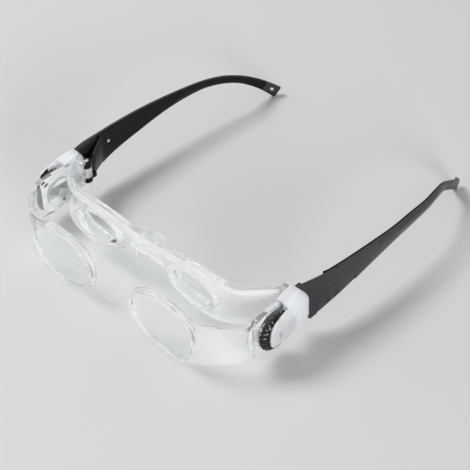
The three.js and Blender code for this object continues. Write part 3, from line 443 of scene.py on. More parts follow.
# Rear frame
def frame_profile(top, bottom, top_reach, shelf_reach):
    web, flange, fillet, edge = (FRAME_PROFILE[k] for k in ("web", "flange", "fillet", "edge"))
    return [
        (0, bottom + edge), (edge, bottom), (shelf_reach - edge, bottom), (shelf_reach, bottom + edge),
        (shelf_reach, bottom + flange), (web + fillet, bottom + flange), (web, bottom + flange + fillet),
        (web, top - flange - fillet), (web + fillet, top - flange), (top_reach, top - flange),
        (top_reach, top - edge), (top_reach - edge, top), (edge, top), (0, top - edge),
    ]


def eyepiece_solid(stops, sign):
    mesh = oval_solid(EYEPIECE, stops)
    return mesh if sign > 0 else mirrored(mesh)


def rear_frame():
    half = [station[:3] for station in FRAME_STATIONS]
    rest = [station[3:] for station in FRAME_STATIONS]
    plan = [(-x, y, top) for x, y, top in half[:0:-1]] + half
    base = wall(plan, rest[:0:-1] + rest, FRAME_STEPS, frame_profile)
    joined, cut = [], []
    for sign in SIGNS:
        x = sign * HINGE["x"]
        reach = sorted((sign * END_BLOCK["inner"], sign * END_BLOCK["outer"]))
        joined += [
            eyepiece_solid([(-BOSS["wall"], BOSS["front"]), (-BOSS["wall"], BOSS["back"])], sign),
            box(*reach, END_BLOCK["front"], END_BLOCK["back"], END_BLOCK["low"], END_BLOCK["high"]),
            hinge_round(HINGE["radius"], KNUCKLE["low"], KNUCKLE["high"], sign),
            box(x - KNUCKLE["web_half"], x + KNUCKLE["web_half"], END_BLOCK["back"] - PAST, HINGE["y"],
                KNUCKLE["low"], KNUCKLE["high"]),
            prism("y", circle(sign * SADDLE_PEG["x"], SADDLE_PEG["z"], SADDLE_PEG["radius"]),
                  SADDLE_PEG["front"], SADDLE_PEG["back"]),
        ]
        cut += [
            eyepiece_solid([(-2 * BOSS["bevel"], BOSS["front"] - BOSS["bevel"]),
                            (0, BOSS["front"] + BOSS["bevel"]), (0, BOSS["back"] + PAST)], sign),
            hinge_round(HINGE["bore"], 0, ABOVE_ALL, sign),
        ]
        for height in CAP_SCREW_HEIGHTS.values():
            cut.append(prism("x", circle(CAP_SCREW_Y, height, CAP_SCREW_BORE), reach[0] - PAST,
                             reach[1] + PAST))
    return combine(base, joined, cut)


def nose_saddle():
    half = SADDLE["thickness"] / 2
    edge = half / 2
    front, back = SADDLE["front"], SADDLE["back"]
    profile = [
        (half, front + edge), (half - edge, front), (edge - half, front), (-half, front + edge),
        (-half, back - edge), (edge - half, back), (half - edge, back), (half, back - edge),
    ]
    sections = []
    for angle in np.radians(np.linspace(-SADDLE["tuck"], 180 + SADDLE["tuck"], SADDLE_STEPS + 1)):
        c, s = math.cos(angle), math.sin(angle)
        x, z = SADDLE["half_width"] * c, SADDLE["centre_z"] + SADDLE["height"] * s
        sections.append([(x + out * c, y, z + out * s) for out, y in profile])
    radius = SADDLE_PEG["radius"] + BORE_GAP
    holes = [prism("y", circle(sign * SADDLE_PEG["x"], SADDLE_PEG["z"], radius), front - PAST,
                   SADDLE_PEG["back"] + SEAT_GAP) for sign in SIGNS]
    return combine(loft(sections), cut=holes)


# Carrier
def arm_profile(top, bottom):
    half = ARM_THICKNESS / 2
    return [
        (half, top - ARM_EDGE), (half - ARM_EDGE, top), (ARM_EDGE - half, top), (-half, top - ARM_EDGE),
        (-half, bottom + ARM_EDGE), (ARM_EDGE - half, bottom), (half - ARM_EDGE, bottom),
        (half, bottom + ARM_EDGE),
    ]


def rack_slot():
    """The plate's slot, with the rack's teeth along its lower edge."""
    pitch_line = WHEEL["z"] - PITCH_RADIUS
    root, tip = pitch_line - TOOTH["rack_root"], pitch_line + TOOTH["rack_tip"]
    half_at_pitch = RACK_PITCH / 4 - TOOTH["backlash"] / 4
    slope = math.tan(PRESSURE_ANGLE)
    tip_half = half_at_pitch - TOOTH["rack_tip"] * slope
    root_half = half_at_pitch + TOOTH["rack_root"] * slope
    back, front = WHEEL["y"] + SLOT["half_length"], WHEEL["y"] - SLOT["half_length"]
    top = WHEEL["z"] + SLOT["top"]
    points = [(back, root), (back, top), (front, top), (front, root)]
    for tooth in range(RACK_TEETH):
        middle = WHEEL["y"] + (tooth - (RACK_TEETH - 1) / 2) * RACK_PITCH
        points += [(middle - root_half, root), (middle - tip_half, tip), (middle + tip_half, tip),
                   (middle + root_half, root)]
    return points


def hood_shoulder():
    """The rounded corner where the flat top of plate and hood turns down to the front."""
    radius = PLATE["shoulder"]
    y, z = PLATE["front"] + radius, WHEEL["z"] + HOOD["top"] - radius
    return arc(y, z, radius, 90, 180, SHOULDER_POINTS)


def slide_plate(outer):
    z, radius = WHEEL["z"], PLATE["low_radius"]
    rise = math.degrees(math.asin((PLATE["back"] - WHEEL["y"]) / radius))
    outline = [(PLATE["front"], z - radius), *arc(WHEEL["y"], z, radius, -90, rise - 90)]
    outline += [(PLATE["back"], z + HOOD["top"]), *hood_shoulder()]
    return prism("x", outline, PLATE["inner"], outer)


def wheel_hood():
    z = WHEEL["z"]
    outline = [(PLATE["back"], z + HOOD["top"]), *hood_shoulder()]
    outline += arc(HOOD_CENTRE_Y, z, HOOD["underside"], HOOD["front_angle"], 90)
    outline += [(PLATE["back"], z + HOOD["underside"])]
    top, outer, chamfer = z + HOOD["top"], HOOD["outer"], HOOD["chamfer"]
    edge = [(outer - chamfer - PAST, top + PAST), (outer + PAST, top + PAST),
            (outer + PAST, top - chamfer - PAST)]
    chamfered = prism("y", edge, 0, PLATE["back"] + PAST)
    return combine(prism("x", outline, PLATE["inner"], outer), cut=[chamfered])


def below_floor():
    return box(0, OUTSIDE, -BEYOND, 2 * ORIGIN_DEPTH + BEYOND, -BEYOND, 0)


def frosted_region(margin):
    """The frosted area as seen from the side: round below the axle and straight above it."""
    radius, front = FROST["radius"] + margin, FROST["front"] - margin
    start = 360 - math.degrees(math.acos((front - WHEEL["y"]) / radius))
    below = arc(WHEEL["y"], WHEEL["z"], radius, start, 270)
    back = PLATE["back"] + PAST
    return [*below, (back, below[-1][1]), (back, ABOVE_ALL), (front, ABOVE_ALL)]


def frosted_face():
    """The frosted layer on the inner face of the slide plate."""
    beyond = combine(box(INSIDE, OUTSIDE, 0, PLATE["back"] + 2 * PAST, 0, ABOVE_ALL + PAST),
                     cut=[prism("x", frosted_region(0), INSIDE - PAST, OUTSIDE + PAST)])
    slot = prism("x", rack_slot(), INSIDE, OUTSIDE)
    return combine(slide_plate(PLATE["inner"] + FROST["depth"]), cut=[beyond, slot])


def hood_window(margin=0.0):
    """The frosted window in the hood's flat top."""
    top = WHEEL["z"] + HOOD["top"]
    outer = HOOD["outer"] - HOOD["chamfer"]
    return box(WINDOW["inner"] - margin, outer + margin, WINDOW["front"] - margin, PLATE["back"] + margin,
               top - FROST["depth"] - margin, top + margin)


def corner_layer(span, margin=0.0):
    """A thin segment of a circle inside the clear corner ahead of the wheel."""
    radius = CORNER["radius"] + margin
    half = math.degrees(math.acos((CORNER["y"] - CORNER["back"]) / radius))
    outline = arc(CORNER["y"], CORNER["z"], radius, 180 - half, 180 + half)
    return prism("x", outline, span["inner"] - margin, span["outer"] + margin)


def plate_marks():
    """Two pin ends in black, painted shade of their recesses, and two guide lines on the inner face of the
    plate.
    """
    low, high = PLATE_PIN_TOP, PLATE["inner"] + FROST["depth"] / 2
    pin_shades = [prism("x", circle(y, z, radius), low, high) for y, z, radius in PLATE_PIN_SHADES.values()]
    half = GUIDE_LINE_SIZE / 2
    lines = []
    for (y1, z1), (y2, z2) in GUIDE_LINES:
        outline = [(y1, z1 - half), (y2, z2 - half), (y2, z2 + half), (y1, z1 + half)]
        lines.append(prism("x", outline, PLATE["inner"] - half, high))
    return combine(pin_shades[0], [*pin_shades[1:], *lines])


def carrier():
    depth, bevel = RIM["depth"], RIM["bevel"]
    rim = oval_solid(OBJECTIVE, [(bevel, 0), (0, bevel), (0, depth)])
    plan = [station[:3] for station in ARM_STATIONS]
    arm = wall(plan, [station[3:] for station in ARM_STATIONS], ARM_STEPS, arm_profile)
    seat = oval_solid(OBJECTIVE, [(RIM["width"], -PAST), (RIM["width"], depth - RIM["ledge_depth"])])
    inner = RIM["width"] + RIM["ledge"]
    throat = oval_solid(OBJECTIVE, [(inner, 0), (inner, depth + PAST)])
    slot = prism("x", rack_slot(), PLATE["inner"] - PAST, PLATE["outer"] + PAST)
    frost_floor = PLATE["inner"] + FROST["depth"] + FROST["seam"]
    frosted = prism("x", frosted_region(FROST["seam"]), INSIDE, frost_floor)
    corner = corner_layer({"inner": CORNER_PAINTED_SHADE["inner"], "outer": CORNER_LIGHT["outer"]}, FROST["seam"])
    cuts = [seat, throat, slot, below_floor(), frosted, hood_window(FROST["seam"]), corner]
    return combine(rim, [arm, slide_plate(PLATE["outer"]), wheel_hood()], cuts)


# Focus wheel, hub and screws
def knurled_ring():
    """Ridges of full height on the rim, which fade out on the cone of the outer face."""
    sections = []
    height = WHEEL["ridge_height"]
    for x, inset, ridge_height in ((WHEEL["inner"], WHEEL_CHAMFER["inner"], height),
                                   (WHEEL["inner"] + WHEEL_CHAMFER["inner"], 0, height),
                                   (WHEEL_CHAMFER["cone_start"], 0, height),
                                   (WHEEL["outer"], WHEEL_CHAMFER["cone_drop"], 0)):
        section = []
        for number in range(WHEEL["ridges"]):
            for share, drop in RIDGE_PROFILE:
                angle = (number + share) / WHEEL["ridges"] * 2 * math.pi
                radius = WHEEL["radius"] - drop * ridge_height - inset
                section.append((x, *about_axle(radius, angle)))
        sections.append(section)
    bore = axle_round(RING_BORE, WHEEL["inner"] - PAST, WHEEL["outer"] + PAST, DISC_POINTS)
    return combine(loft(sections), cut=[bore])


def pinion_outline():
    """Involute flanks, one tooth pointing straight down at rest."""
    base = PITCH_RADIUS * math.cos(PRESSURE_ANGLE)

    def involute(radius):
        angle = math.acos(min(1, base / radius))
        return math.tan(angle) - angle

    pitch_half = math.pi / (2 * PINION_TEETH) - TOOTH["backlash"] / (4 * PITCH_RADIUS)

    def half_angle(radius):
        return pitch_half + involute(PITCH_RADIUS) - involute(radius)

    tip, root = PITCH_RADIUS + TOOTH["pinion_tip"], PITCH_RADIUS - TOOTH["pinion_root"]
    flank = [(root, half_angle(base)), (base, half_angle(base)), (PITCH_RADIUS, pitch_half),
             (tip, half_angle(tip))]
    points = []
    for tooth in range(PINION_TEETH):
        middle = -math.pi / 2 + tooth / PINION_TEETH * 2 * math.pi
        for radius, angle in ([(r, middle - h) for r, h in flank]
                              + [(r, middle + h) for r, h in reversed(flank)]):
            points.append(about_axle(radius, angle))
    return points


def wheel_hub():
    flange = axle_round(HUB["radius"], HUB["inner"], HUB["outer"], DISC_POINTS)
    pinion = prism("x", pinion_outline(), PINION_INNER, HUB["inner"] + PAST)
    bore = axle_round(HUB["bore"], PINION_INNER - PAST, HUB["outer"] + PAST)
    return combine(flange, [pinion], [bore])


def slotted_screw(spec, y, z):
    shank = prism("x", circle(y, z, spec["radius"]), spec["head_outer"] - SEAT_GAP, spec["tip"])
    head = prism("x", circle(y, z, spec["head_radius"]), spec["head_inner"], spec["head_outer"])
    depth = (spec["head_outer"] - spec["head_inner"]) / 2
    half = spec["head_radius"] * SCREW_SLOT_SHARE
    slot = box(spec["head_inner"] - PAST, spec["head_inner"] + depth, y - half, y + half,
               z - BEYOND, z + BEYOND)
    return combine(head, [shank], [slot])


def cap_screw(height):
    return slotted_screw(CAP_SCREW, CAP_SCREW_Y, CAP_SCREW_HEIGHTS[height])


def flat_disc(spec):
    disc = axle_round(spec["radius"], spec["inner"], spec["outer"], DISC_POINTS)
    bore = axle_round(spec["bore"], spec["inner"] - PAST, spec["outer"] + PAST)
    return combine(disc, cut=[bore])


# End cap
def fishtail(side):
    """What to cut away beyond the joint line: ahead of it (side 1) or behind it (side -1), as (y, z)."""
    shift = side * FISHTAIL_HALF_GAP
    line = [(y + shift, z) for y, z in catmull(FISHTAIL, FISHTAIL_STEPS, power=0)]
    far = -BEYOND if side > 0 else ORIGIN_DEPTH
    return line + [(far, FISHTAIL[-1][1]), (far, FISHTAIL[0][1])]


def cap_edge_shade():
    """Painted shade: a dark band along the cap's front edge, from a lip outside it to a depth towards the
    axle.
    """
    edge = [*CAP_FRONT_EDGE[2:], *CAP_CHIN, EDGE_SHADE["end"]]

    def shifted(distance):
        line = []
        for y, z in edge:
            from_axle = (y - WHEEL["y"], z - WHEEL["z"])
            share = 1 + distance / math.hypot(*from_axle)
            line.append((WHEEL["y"] + from_axle[0] * share, WHEEL["z"] + from_axle[1] * share))
        return line

    outline = [*shifted(EDGE_SHADE["lip"]), *reversed(shifted(-EDGE_SHADE["depth"]))]
    return prism("x", outline, EDGE_SHADE["inner"], CAP["wall"] - BORE_GAP)


def end_cap():
    sections = []
    for y, outer, top in catmull(CAP_STATIONS, CAP_STEPS):
        bevelled = outer - CAP_EDGE["bevel"]
        corners = [
            (CAP["root_inner"], CAP["bottom"]), (outer - CAP_EDGE["low"], CAP["bottom"]),
            (outer, CAP["bottom"] + CAP_EDGE["low"]), (outer, CAP["crease"]),
            (bevelled, top - CAP_EDGE["high"]), (bevelled - CAP_EDGE["high"], top),
            (CAP["root_inner"], top),
        ]
        sections.append([(x, y, z) for x, z in corners])
    curve = catmull(CAP_FRONT_EDGE[1:], CAP_EDGE_STEPS, power=0)
    edge = [CAP_FRONT_EDGE[0], *(tuple(point) for point in curve), *CAP_CHIN]
    below = CAP["bottom"] - PAST
    ahead = [(0, below), (CAP_CHIN[-1][0], below), *reversed(edge), (CAP_FRONT_EDGE[0][0], ABOVE_ALL),
             (0, ABOVE_ALL)]
    front = prism("x", ahead, CAP["root_inner"] - PAST, OUTSIDE)
    wells = [
        axle_round(WHEEL_WELL_RADIUS, INSIDE, CAP["wall"], DISC_POINTS),
        box(INSIDE, PLATE["outer"] + SEAT_GAP, 0, CAP["root_front"], 0, HOOD_WELL["high"]),
        box(INSIDE, HOOD_WELL["outer"], 0, CAP["root_front"], HOOD_WELL["low"], HOOD_WELL["high"]),
        hinge_round(HINGE["radius"] + 2 * SEAT_GAP, 0, ABOVE_ALL),
        axle_round(HUB["bore"], INSIDE, AXLE["tip"] + BORE_GAP),
        box(INSIDE, CAP["wall"], 0, CAP_FRONT_EDGE[0][0], WHEEL["z"], ABOVE_ALL),
    ]
    for height in CAP_SCREW_HEIGHTS.values():
        wells.append(prism("x", circle(CAP_SCREW_Y, height, CAP_SCREW_BORE), INSIDE,
                           CAP_SCREW["tip"] + SEAT_GAP))
    rear = prism("x", fishtail(-1), CAP["root_inner"] - PAST, OUTSIDE)
    return combine(loft(sections), cut=[front, rear, *wells])


# Temple
def temple_lines(steps=TEMPLE_LINE_STEPS):
    return catmull(TEMPLE_TOP, steps), catmull(TEMPLE_BOTTOM, steps)


def temple_sections(start, end, near, far, inset, bulge, lean):
    """Sections of one layer of the temple, between depths inward of its middle surface."""
    count = round(TEMPLE_STEPS * (end - start))
    top_line, bottom_line = temple_lines()
    top_run, bottom_run = tangents(top_line), tangents(bottom_line)
    sections = []
    for share in np.linspace(start, end, count + 1):
        i = round(share * TEMPLE_LINE_STEPS)
        top, bottom = top_line[i], bottom_line[i]
        height = np.linalg.norm(top - bottom)
        up = (top - bottom) / height
        outward = unit(np.cross(unit(top_run[i] + bottom_run[i]), up))
        slim = 1 - TIP_SLIMMING * share
        near_depth, far_depth = near(top[1]) * slim, far(top[1]) * slim
        edge, belly = TEMPLE_EDGE * slim, lean * slim
        profile = [
            (near_depth + edge, height - inset), (near_depth, height - inset - edge),
            (near_depth - bulge * slim, height * TEMPLE_CREASE["height"]), (near_depth, inset + edge),
            (near_depth + edge, inset), (far_depth - edge * slim - belly, inset),
            (far_depth - belly, inset + edge), (far_depth, height * CORE_BELLY["height"]),
            (far_depth, height - inset - edge), (far_depth - edge, height - inset),
        ]
        sections.append([bottom + rise * up - depth * outward for depth, rise in profile])
    return sections


def temple_middle(y):
    """The x of the temple's middle surface, halfway up, at a given y."""
    top, bottom = temple_lines(TEMPLE_MIDDLE_STEPS)
    i = int(np.argmax(top[:, 1] > y))
    return (top[i][0] + bottom[i][0]) / 2


def skin(near):
    """The outer layer of the temple, as a solid that starts at the given depth."""
    return loft(temple_sections(0, TIP_SEAM["shell_end"], lambda y: near, lambda y: SHELL_BACK, 0,
                                TEMPLE_CREASE["bulge"], 0))


def temple_shell():
    corner = PANEL["corner"]
    outline = [(PANEL["front"], PANEL["low"]), (PANEL["back"], PANEL["low"]),
               (PANEL["back"], PANEL["back_top"])]
    outline += arc(PANEL["front"] + corner, PANEL["front_top"] - corner, corner, 90, 180, PANEL_POINTS)
    panel = combine(prism("x", outline, HINGE["x"], OUTSIDE), cut=[skin(SKIN_DEPTH + PANEL["depth"])])
    notch = box(INSIDE, OUTSIDE, TOP_NOTCH["y"], TOP_NOTCH["y"] + TOP_NOTCH["width"], TOP_NOTCH["floor"],
                ABOVE_ALL)
    rivet_end = temple_middle(RIVET["y"]) - SHELL_BACK + RIVET["tip_depth"]
    bore = prism("x", circle(RIVET["y"], RIVET["z"], RIVET["radius"] + BORE_GAP), INSIDE,
                 rivet_end + BORE_GAP)
    front = prism("x", fishtail(1), INSIDE, OUTSIDE)
    return combine(skin(SKIN_DEPTH), cut=[panel, front, notch, bore])


def hinge_share(y):
    """Runs from 0 along the temple to 1 at the front end of its core."""
    return min(1, max(0, (CORE_FRONT["reach"] - y) / (CORE_FRONT["reach"] - CORE_FRONT["y"])))


def core_near(y):
    return SHELL_BACK + SEAT_GAP + CORE_FRONT["spread"] * hinge_share(y)


def core_far(y):
    return core_near(y) + CORE_THICKNESS + CORE_FRONT["thickening"] * hinge_share(y)


def temple_core():
    layer = loft(temple_sections(0, TIP_SEAM["shell_end"], core_near, core_far, CORE_INSET, 0,
                                 CORE_BELLY["lean"]))
    low, high = CORE_SLOPE["low"], CORE_SLOPE["high"]
    slope = prism("x", [(0, low[1]), low, high, (high[0], high[1] + BEYOND), (0, high[1] + BEYOND)],
                  INSIDE, OUTSIDE)
    back = CORE_UNDERCUT["back"]
    undercut = prism("x", [(0, 0), (back[0], 0), back, (CORE_FRONT["y"], CORE_UNDERCUT["front_z"]),
                           (0, CORE_UNDERCUT["front_z"])], INSIDE, OUTSIDE)
    blunt = box(INSIDE, OUTSIDE, 0, CORE_FRONT["y"], 0, ABOVE_ALL)
    body = combine(layer, cut=[blunt, slope, undercut])
    ears = []
    across = (HINGE["x"] - EAR_ARM_HALF, HINGE["x"] + EAR_ARM_HALF)
    for low_z, high_z in EARS.values():
        ears.append(hinge_round(HINGE["radius"], low_z, high_z))
        ears.append(box(*across, HINGE["y"], CORE_FRONT["y"] + 2 * PAST, low_z, high_z))
    bores = [hinge_round(HINGE["bore"], 0, ABOVE_ALL),
             prism("x", circle(RIVET["y"], RIVET["z"], RIVET["radius"] + BORE_GAP), INSIDE, OUTSIDE)]
    return combine(body, ears, bores)


def temple_tip():
    start = TIP_SEAM["tip_start"]
    tip = loft(temple_sections(start, 1, lambda y: SKIN_DEPTH, lambda y: -SKIN_DEPTH, 0,
                               TEMPLE_CREASE["bulge"], 0))
    i = round((start + (1 - start) * EYELET["share"]) * TEMPLE_LINE_STEPS)
    top_line, bottom_line = temple_lines()
    centre, up = (top_line[i] + bottom_line[i]) / 2, unit(top_line[i] - bottom_line[i])
    outward = unit(np.cross(tangents(top_line)[i], up))
    run = np.cross(up, outward)
    ring = [EYELET["half_length"] * math.cos(a) * run + EYELET["half_height"] * math.sin(a) * up
            for a in np.linspace(0, 2 * math.pi, ROUND_POINTS, endpoint=False)]
    hole = loft([[centre + p + side * BEYOND * outward for p in ring] for side in (-1, 1)])
    return combine(tip, cut=[hole, below_floor()])


def hinge_pin():
    head_top = HINGE_PIN["high"] + HINGE_PIN["head_height"]
    shank = hinge_round(HINGE_PIN["radius"], HINGE_PIN["low"], head_top - BORE_GAP)
    return combine(shank, [hinge_round(HINGE_PIN["head_radius"], HINGE_PIN["high"], head_top)])


def temple_rivet():
    middle = temple_middle(RIVET["y"])
    head_outer = middle - core_far(RIVET["y"]) - SEAT_GAP
    head_inner = head_outer - RIVET["head_height"]
    y, z = RIVET["y"], RIVET["z"]
    shank = prism("x", circle(y, z, RIVET["radius"]), head_inner + BORE_GAP,
                  middle - SHELL_BACK + RIVET["tip_depth"])
    return combine(shank, [prism("x", circle(y, z, RIVET["head_radius"]), head_inner, head_outer)])


# Materials
NOISE_BAND = (0.35, 0.65)


class Finish:
    """A material in the making: one shader and the nodes that feed it."""

    def __init__(self, name):
        self.material = bpy.data.materials.new(name)
        self.material.use_nodes = True
        self.nodes = self.material.node_tree.nodes
        self.links = self.material.node_tree.links
        self.shader = self.nodes["Principled BSDF"]

    def set(self, **values):
        for name, value in values.items():
            self.shader.inputs[name.replace("_", " ")].default_value = value

    def noise(self, scale, detail=4.0):
        """Noise that is fixed to the piece; the scale counts its cells to the metre."""
        place = self.nodes.new("ShaderNodeTexCoord")
        texture = self.nodes.new("ShaderNodeTexNoise")
        texture.inputs["Scale"].default_value = scale
        texture.inputs["Detail"].default_value = detail
        self.links.new(place.outputs["Object"], texture.inputs["Vector"])
        return texture.outputs["Fac"]

    def rough(self, source, low, high):
        """Roughness that runs from low to high as the noise does."""
        ranged = self.nodes.new("ShaderNodeMapRange")
        for name, value in zip(("From Min", "From Max", "To Min", "To Max"), (*NOISE_BAND, low, high)):
            ranged.inputs[name].default_value = value
        self.links.new(source, ranged.inputs["Value"])
        self.links.new(ranged.outputs["Result"], self.shader.inputs["Roughness"])

    def tint(self, source, dark, light):
        """Colour that runs from dark to light as the noise does."""
        ramp = self.nodes.new("ShaderNodeValToRGB")
        for stop, position, colour in zip(ramp.color_ramp.elements, NOISE_BAND, (dark, light)):
            stop.position = position
            stop.color = (*colour, 1)
        self.links.new(source, ramp.inputs["Fac"])
        self.links.new(ramp.outputs["Color"], self.shader.inputs["Base Color"])

    def bump(self, source, strength, distance):
        node = self.nodes.new("ShaderNodeBump")
        node.inputs["Strength"].default_value = strength
        node.inputs["Distance"].default_value = distance
        self.links.new(source, node.inputs["Height"])
        self.links.new(node.outputs["Normal"], self.shader.inputs["Normal"])

    def grain(self, scale, rough, strength, distance, detail=4.0):
        """A fine noise that drives roughness, between the two values of rough, and bump alike."""
        fine = self.noise(scale, detail)
        self.rough(fine, *rough)
        self.bump(fine, strength, distance)

    def let_lamps_through(self, colour):
        """Lamps shine through clear plastic, so that its shadow stays pale."""
        path = self.nodes.new("ShaderNodeLightPath")
        passing = self.nodes.new("ShaderNodeBsdfTransparent")
        passing.inputs["Color"].default_value = (*colour, 1)
        mix = self.nodes.new("ShaderNodeMixShader")
        self.links.new(path.outputs["Is Shadow Ray"], mix.inputs["Fac"])
        self.links.new(self.shader.outputs["BSDF"], mix.inputs[1])
        self.links.new(passing.outputs["BSDF"], mix.inputs[2])
        self.links.new(mix.outputs["Shader"], self.nodes["Material Output"].inputs["Surface"])


def clear_finish(name, colour, clarity, index, roughness, gloss, shadow):
    """Clear plastic: clarity is the share of light that it lets in, shadow the tint of its shadow."""
    finish = Finish(name)
    finish.set(Base_Color=(*colour, 1), Transmission_Weight=clarity, IOR=index, Coat_Weight=gloss,
               Coat_IOR=1.5, Coat_Roughness=0.06)
    finish.rough(finish.noise(900), low=roughness * 0.8, high=roughness * 1.4)
    finish.bump(finish.noise(90, detail=1.5), strength=0.05, distance=0.0003)
    finish.let_lamps_through(shadow)
    return finish.material


def frosted_plastic():
    finish = Finish("frosted_plastic")
    finish.set(Transmission_Weight=0.3, IOR=1.4)
    finish.tint(finish.noise(400, detail=2), (0.76, 0.77, 0.78), (0.88, 0.89, 0.9))
    finish.grain(1500, rough=(0.3, 0.45), strength=0.15, distance=0.0001)
    finish.let_lamps_through((0.6, 0.61, 0.61))
    return finish.material


def milky_plastic():
    finish = Finish("milky_plastic")
    finish.set(Subsurface_Weight=0.9, Subsurface_Radius=(1, 1, 1), Subsurface_Scale=0.01)
    finish.tint(finish.noise(120), (0.69, 0.713, 0.765), (0.73, 0.753, 0.805))
    finish.grain(2600, rough=(0.32, 0.46), strength=0.12, distance=0.00008)
    return finish.material


def anthracite_plastic():
    finish = Finish("anthracite_plastic")
    finish.tint(finish.noise(60, detail=3), (0.011, 0.012, 0.015), (0.017, 0.018, 0.021))
    finish.grain(3200, rough=(0.26, 0.36), strength=0.12, distance=0.00005, detail=2)
    return finish.material


def dark_plastic():
    """For the inner layer of the temples, and for the painted shade of the dark layer in the carrier's
    corner.
    """
    finish = Finish("dark_plastic")
    finish.set(Specular_IOR_Level=0.12)
    finish.tint(finish.noise(60, detail=3), (0.004, 0.0045, 0.0055), (0.007, 0.0075, 0.0085))
    finish.grain(3200, rough=(0.2, 0.3), strength=0.08, distance=0.00005, detail=2)
    return finish.material


def black_plastic():
    finish = Finish("black_plastic")
    finish.set(Specular_IOR_Level=0.35)
    finish.tint(finish.noise(500), (0.003, 0.003, 0.0035), (0.007, 0.007, 0.0075))
    finish.grain(500, rough=(0.05, 0.1), strength=0.1, distance=0.0001)
    return finish.material


def steel():
    finish = Finish("steel")
    finish.set(Metallic=1)
    fine = finish.noise(4000, detail=2)
    finish.tint(fine, (0.62, 0.63, 0.64), (0.72, 0.73, 0.74))
    finish.rough(fine, low=0.18, high=0.32)
    return finish.material


def silicone():
    finish = Finish("silicone")
    finish.set(Base_Color=(0.96, 0.965, 0.97, 1), Transmission_Weight=0.92, IOR=1.2)
    finish.grain(1500, rough=(0.38, 0.5), strength=0.1, distance=0.0001)
    finish.let_lamps_through((0.75, 0.76, 0.77))
    return finish.material


MATERIALS = {
    "clear_plastic": clear_finish("clear_plastic", (0.95, 0.955, 0.96), clarity=0.85, index=1.2,
                                  roughness=0.14, gloss=0.5, shadow=(0.74, 0.75, 0.75)),
    "frame_plastic": clear_finish("frame_plastic", (0.96, 0.965, 0.97), clarity=0.77, index=1.2,
                                  roughness=0.16, gloss=0.5, shadow=(0.8, 0.81, 0.81)),
    "lens": clear_finish("lens", (0.985, 0.99, 0.99), clarity=1.0, index=1.15,
                         roughness=0.02, gloss=0.4, shadow=(0.74, 0.75, 0.75)),
    "frosted_plastic": frosted_plastic(),
    "milky_plastic": milky_plastic(),
    "anthracite_plastic": anthracite_plastic(),
    "dark_plastic": dark_plastic(),
    "black_plastic": black_plastic(),
    "steel": steel(),
    "silicone": silicone(),
}


# The pieces: how each is made, its slot and how far its edges are rounded, in millimetres
PAIRED_PIECES = {
    "carrier": (carrier, "clear_plastic", 0.2),
    "objective_lens": (lambda: lens(OBJECTIVE, RIM["width"] + SEAT_GAP, OBJECTIVE_LENS), "lens", 0),
    "eyepiece_lens": (lambda: lens(EYEPIECE, SEAT_GAP, EYEPIECE_LENS), "lens", 0),
    "focus_wheel": (knurled_ring, "black_plastic", 0.1),
    "wheel_hub": (wheel_hub, "black_plastic", 0.1),
    "axle_screw": (lambda: slotted_screw(AXLE, WHEEL["y"], WHEEL["z"]), "steel", 0.1),
    "guide_disc": (lambda: flat_disc(GUIDE_DISC), "clear_plastic", 0.2),
    "wave_washer": (lambda: flat_disc(WAVE_WASHER), "steel", 0.05),
    "end_cap": (end_cap, "milky_plastic", 0.3),
    "cap_screw_upper": (lambda: cap_screw("upper"), "steel", 0.1),
    "cap_screw_lower": (lambda: cap_screw("lower"), "steel", 0.1),
    "temple_shell": (temple_shell, "anthracite_plastic", 0.12),
    "temple_core": (temple_core, "anthracite_plastic", 0.12),
    "temple_tip": (temple_tip, "anthracite_plastic", 0.12),
    "temple_rivet": (temple_rivet, "steel", 0.1),
    "hinge_pin": (hinge_pin, "steel", 0.1),
}
MIDDLE_PIECES = {
    "rear_frame": (rear_frame, "clear_plastic", 0.2),
    "nose_saddle": (nose_saddle, "silicone", 0.2),
}
# Pieces whose finish isn't simply the one of their slot
OWN_FINISH = {"temple_core": "dark_plastic", "rear_frame": "frame_plastic"}
# Parts of the carrier: how each is made, its finish, its slot and its rounding
CARRIER_PARTS = {
    "frosted_face": (frosted_face, "frosted_plastic", "milky_plastic", 0.05),
    "hood_window": (hood_window, "frosted_plastic", "milky_plastic", 0.05),
    # The corner's dark layer is painted shade
    "corner_dark": (lambda: corner_layer(CORNER_PAINTED_SHADE), "dark_plastic", "black_plastic", 0),
    "corner_light": (lambda: corner_layer(CORNER_LIGHT), "frosted_plastic", "milky_plastic", 0),
    # The pin ends' black is painted shade; the guide lines are printed marks
    "plate_marks": (plate_marks, "black_plastic", "black_plastic", 0.1),
}
SMOOTH_BELOW = math.radians(48)
ROUND_ABOVE = math.radians(38)
TO_ROW_FRAME = Matrix.Scale(MM, 4) @ Matrix.Translation((0, -ORIGIN_DEPTH, 0))


def rounded(mesh, width):
    """The form with its edges rounded, shaded smooth between them, in metres."""
    holder = add_object("holder", mesh)
    if width:
        modifier = holder.modifiers.new("round", "BEVEL")
        modifier.width = width
        modifier.segments = EDGE_SEGMENTS
        modifier.limit_method = "ANGLE"
        modifier.angle_limit = ROUND_ABOVE
    evaluated = holder.evaluated_get(bpy.context.evaluated_depsgraph_get())
    result = bpy.data.meshes.new_from_object(evaluated)
    bpy.data.objects.remove(holder)
    bpy.data.meshes.remove(mesh)
    result.shade_smooth()
    result.set_sharp_from_angle(angle=SMOOTH_BELOW)
    result.transform(TO_ROW_FRAME)
    return result


def dress(name, node, mesh, finish):
    """Puts a form in the place of its CAD node, or of part of it, on the same body."""
    mesh.name = f"{name}_form"
    mesh.materials.clear()
    mesh.materials.append(MATERIALS[finish])
    piece = add_object(f"{name}_look", mesh)
    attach(piece, frame["nodes"][node]["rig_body"])
    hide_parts(node)


def dress_both_sides(stem, node_stem, form, finish):
    dress(f"{stem}_right", f"{node_stem}_right", mirrored(form.copy()), finish)
    dress(f"{stem}_left", f"{node_stem}_left", form, finish)


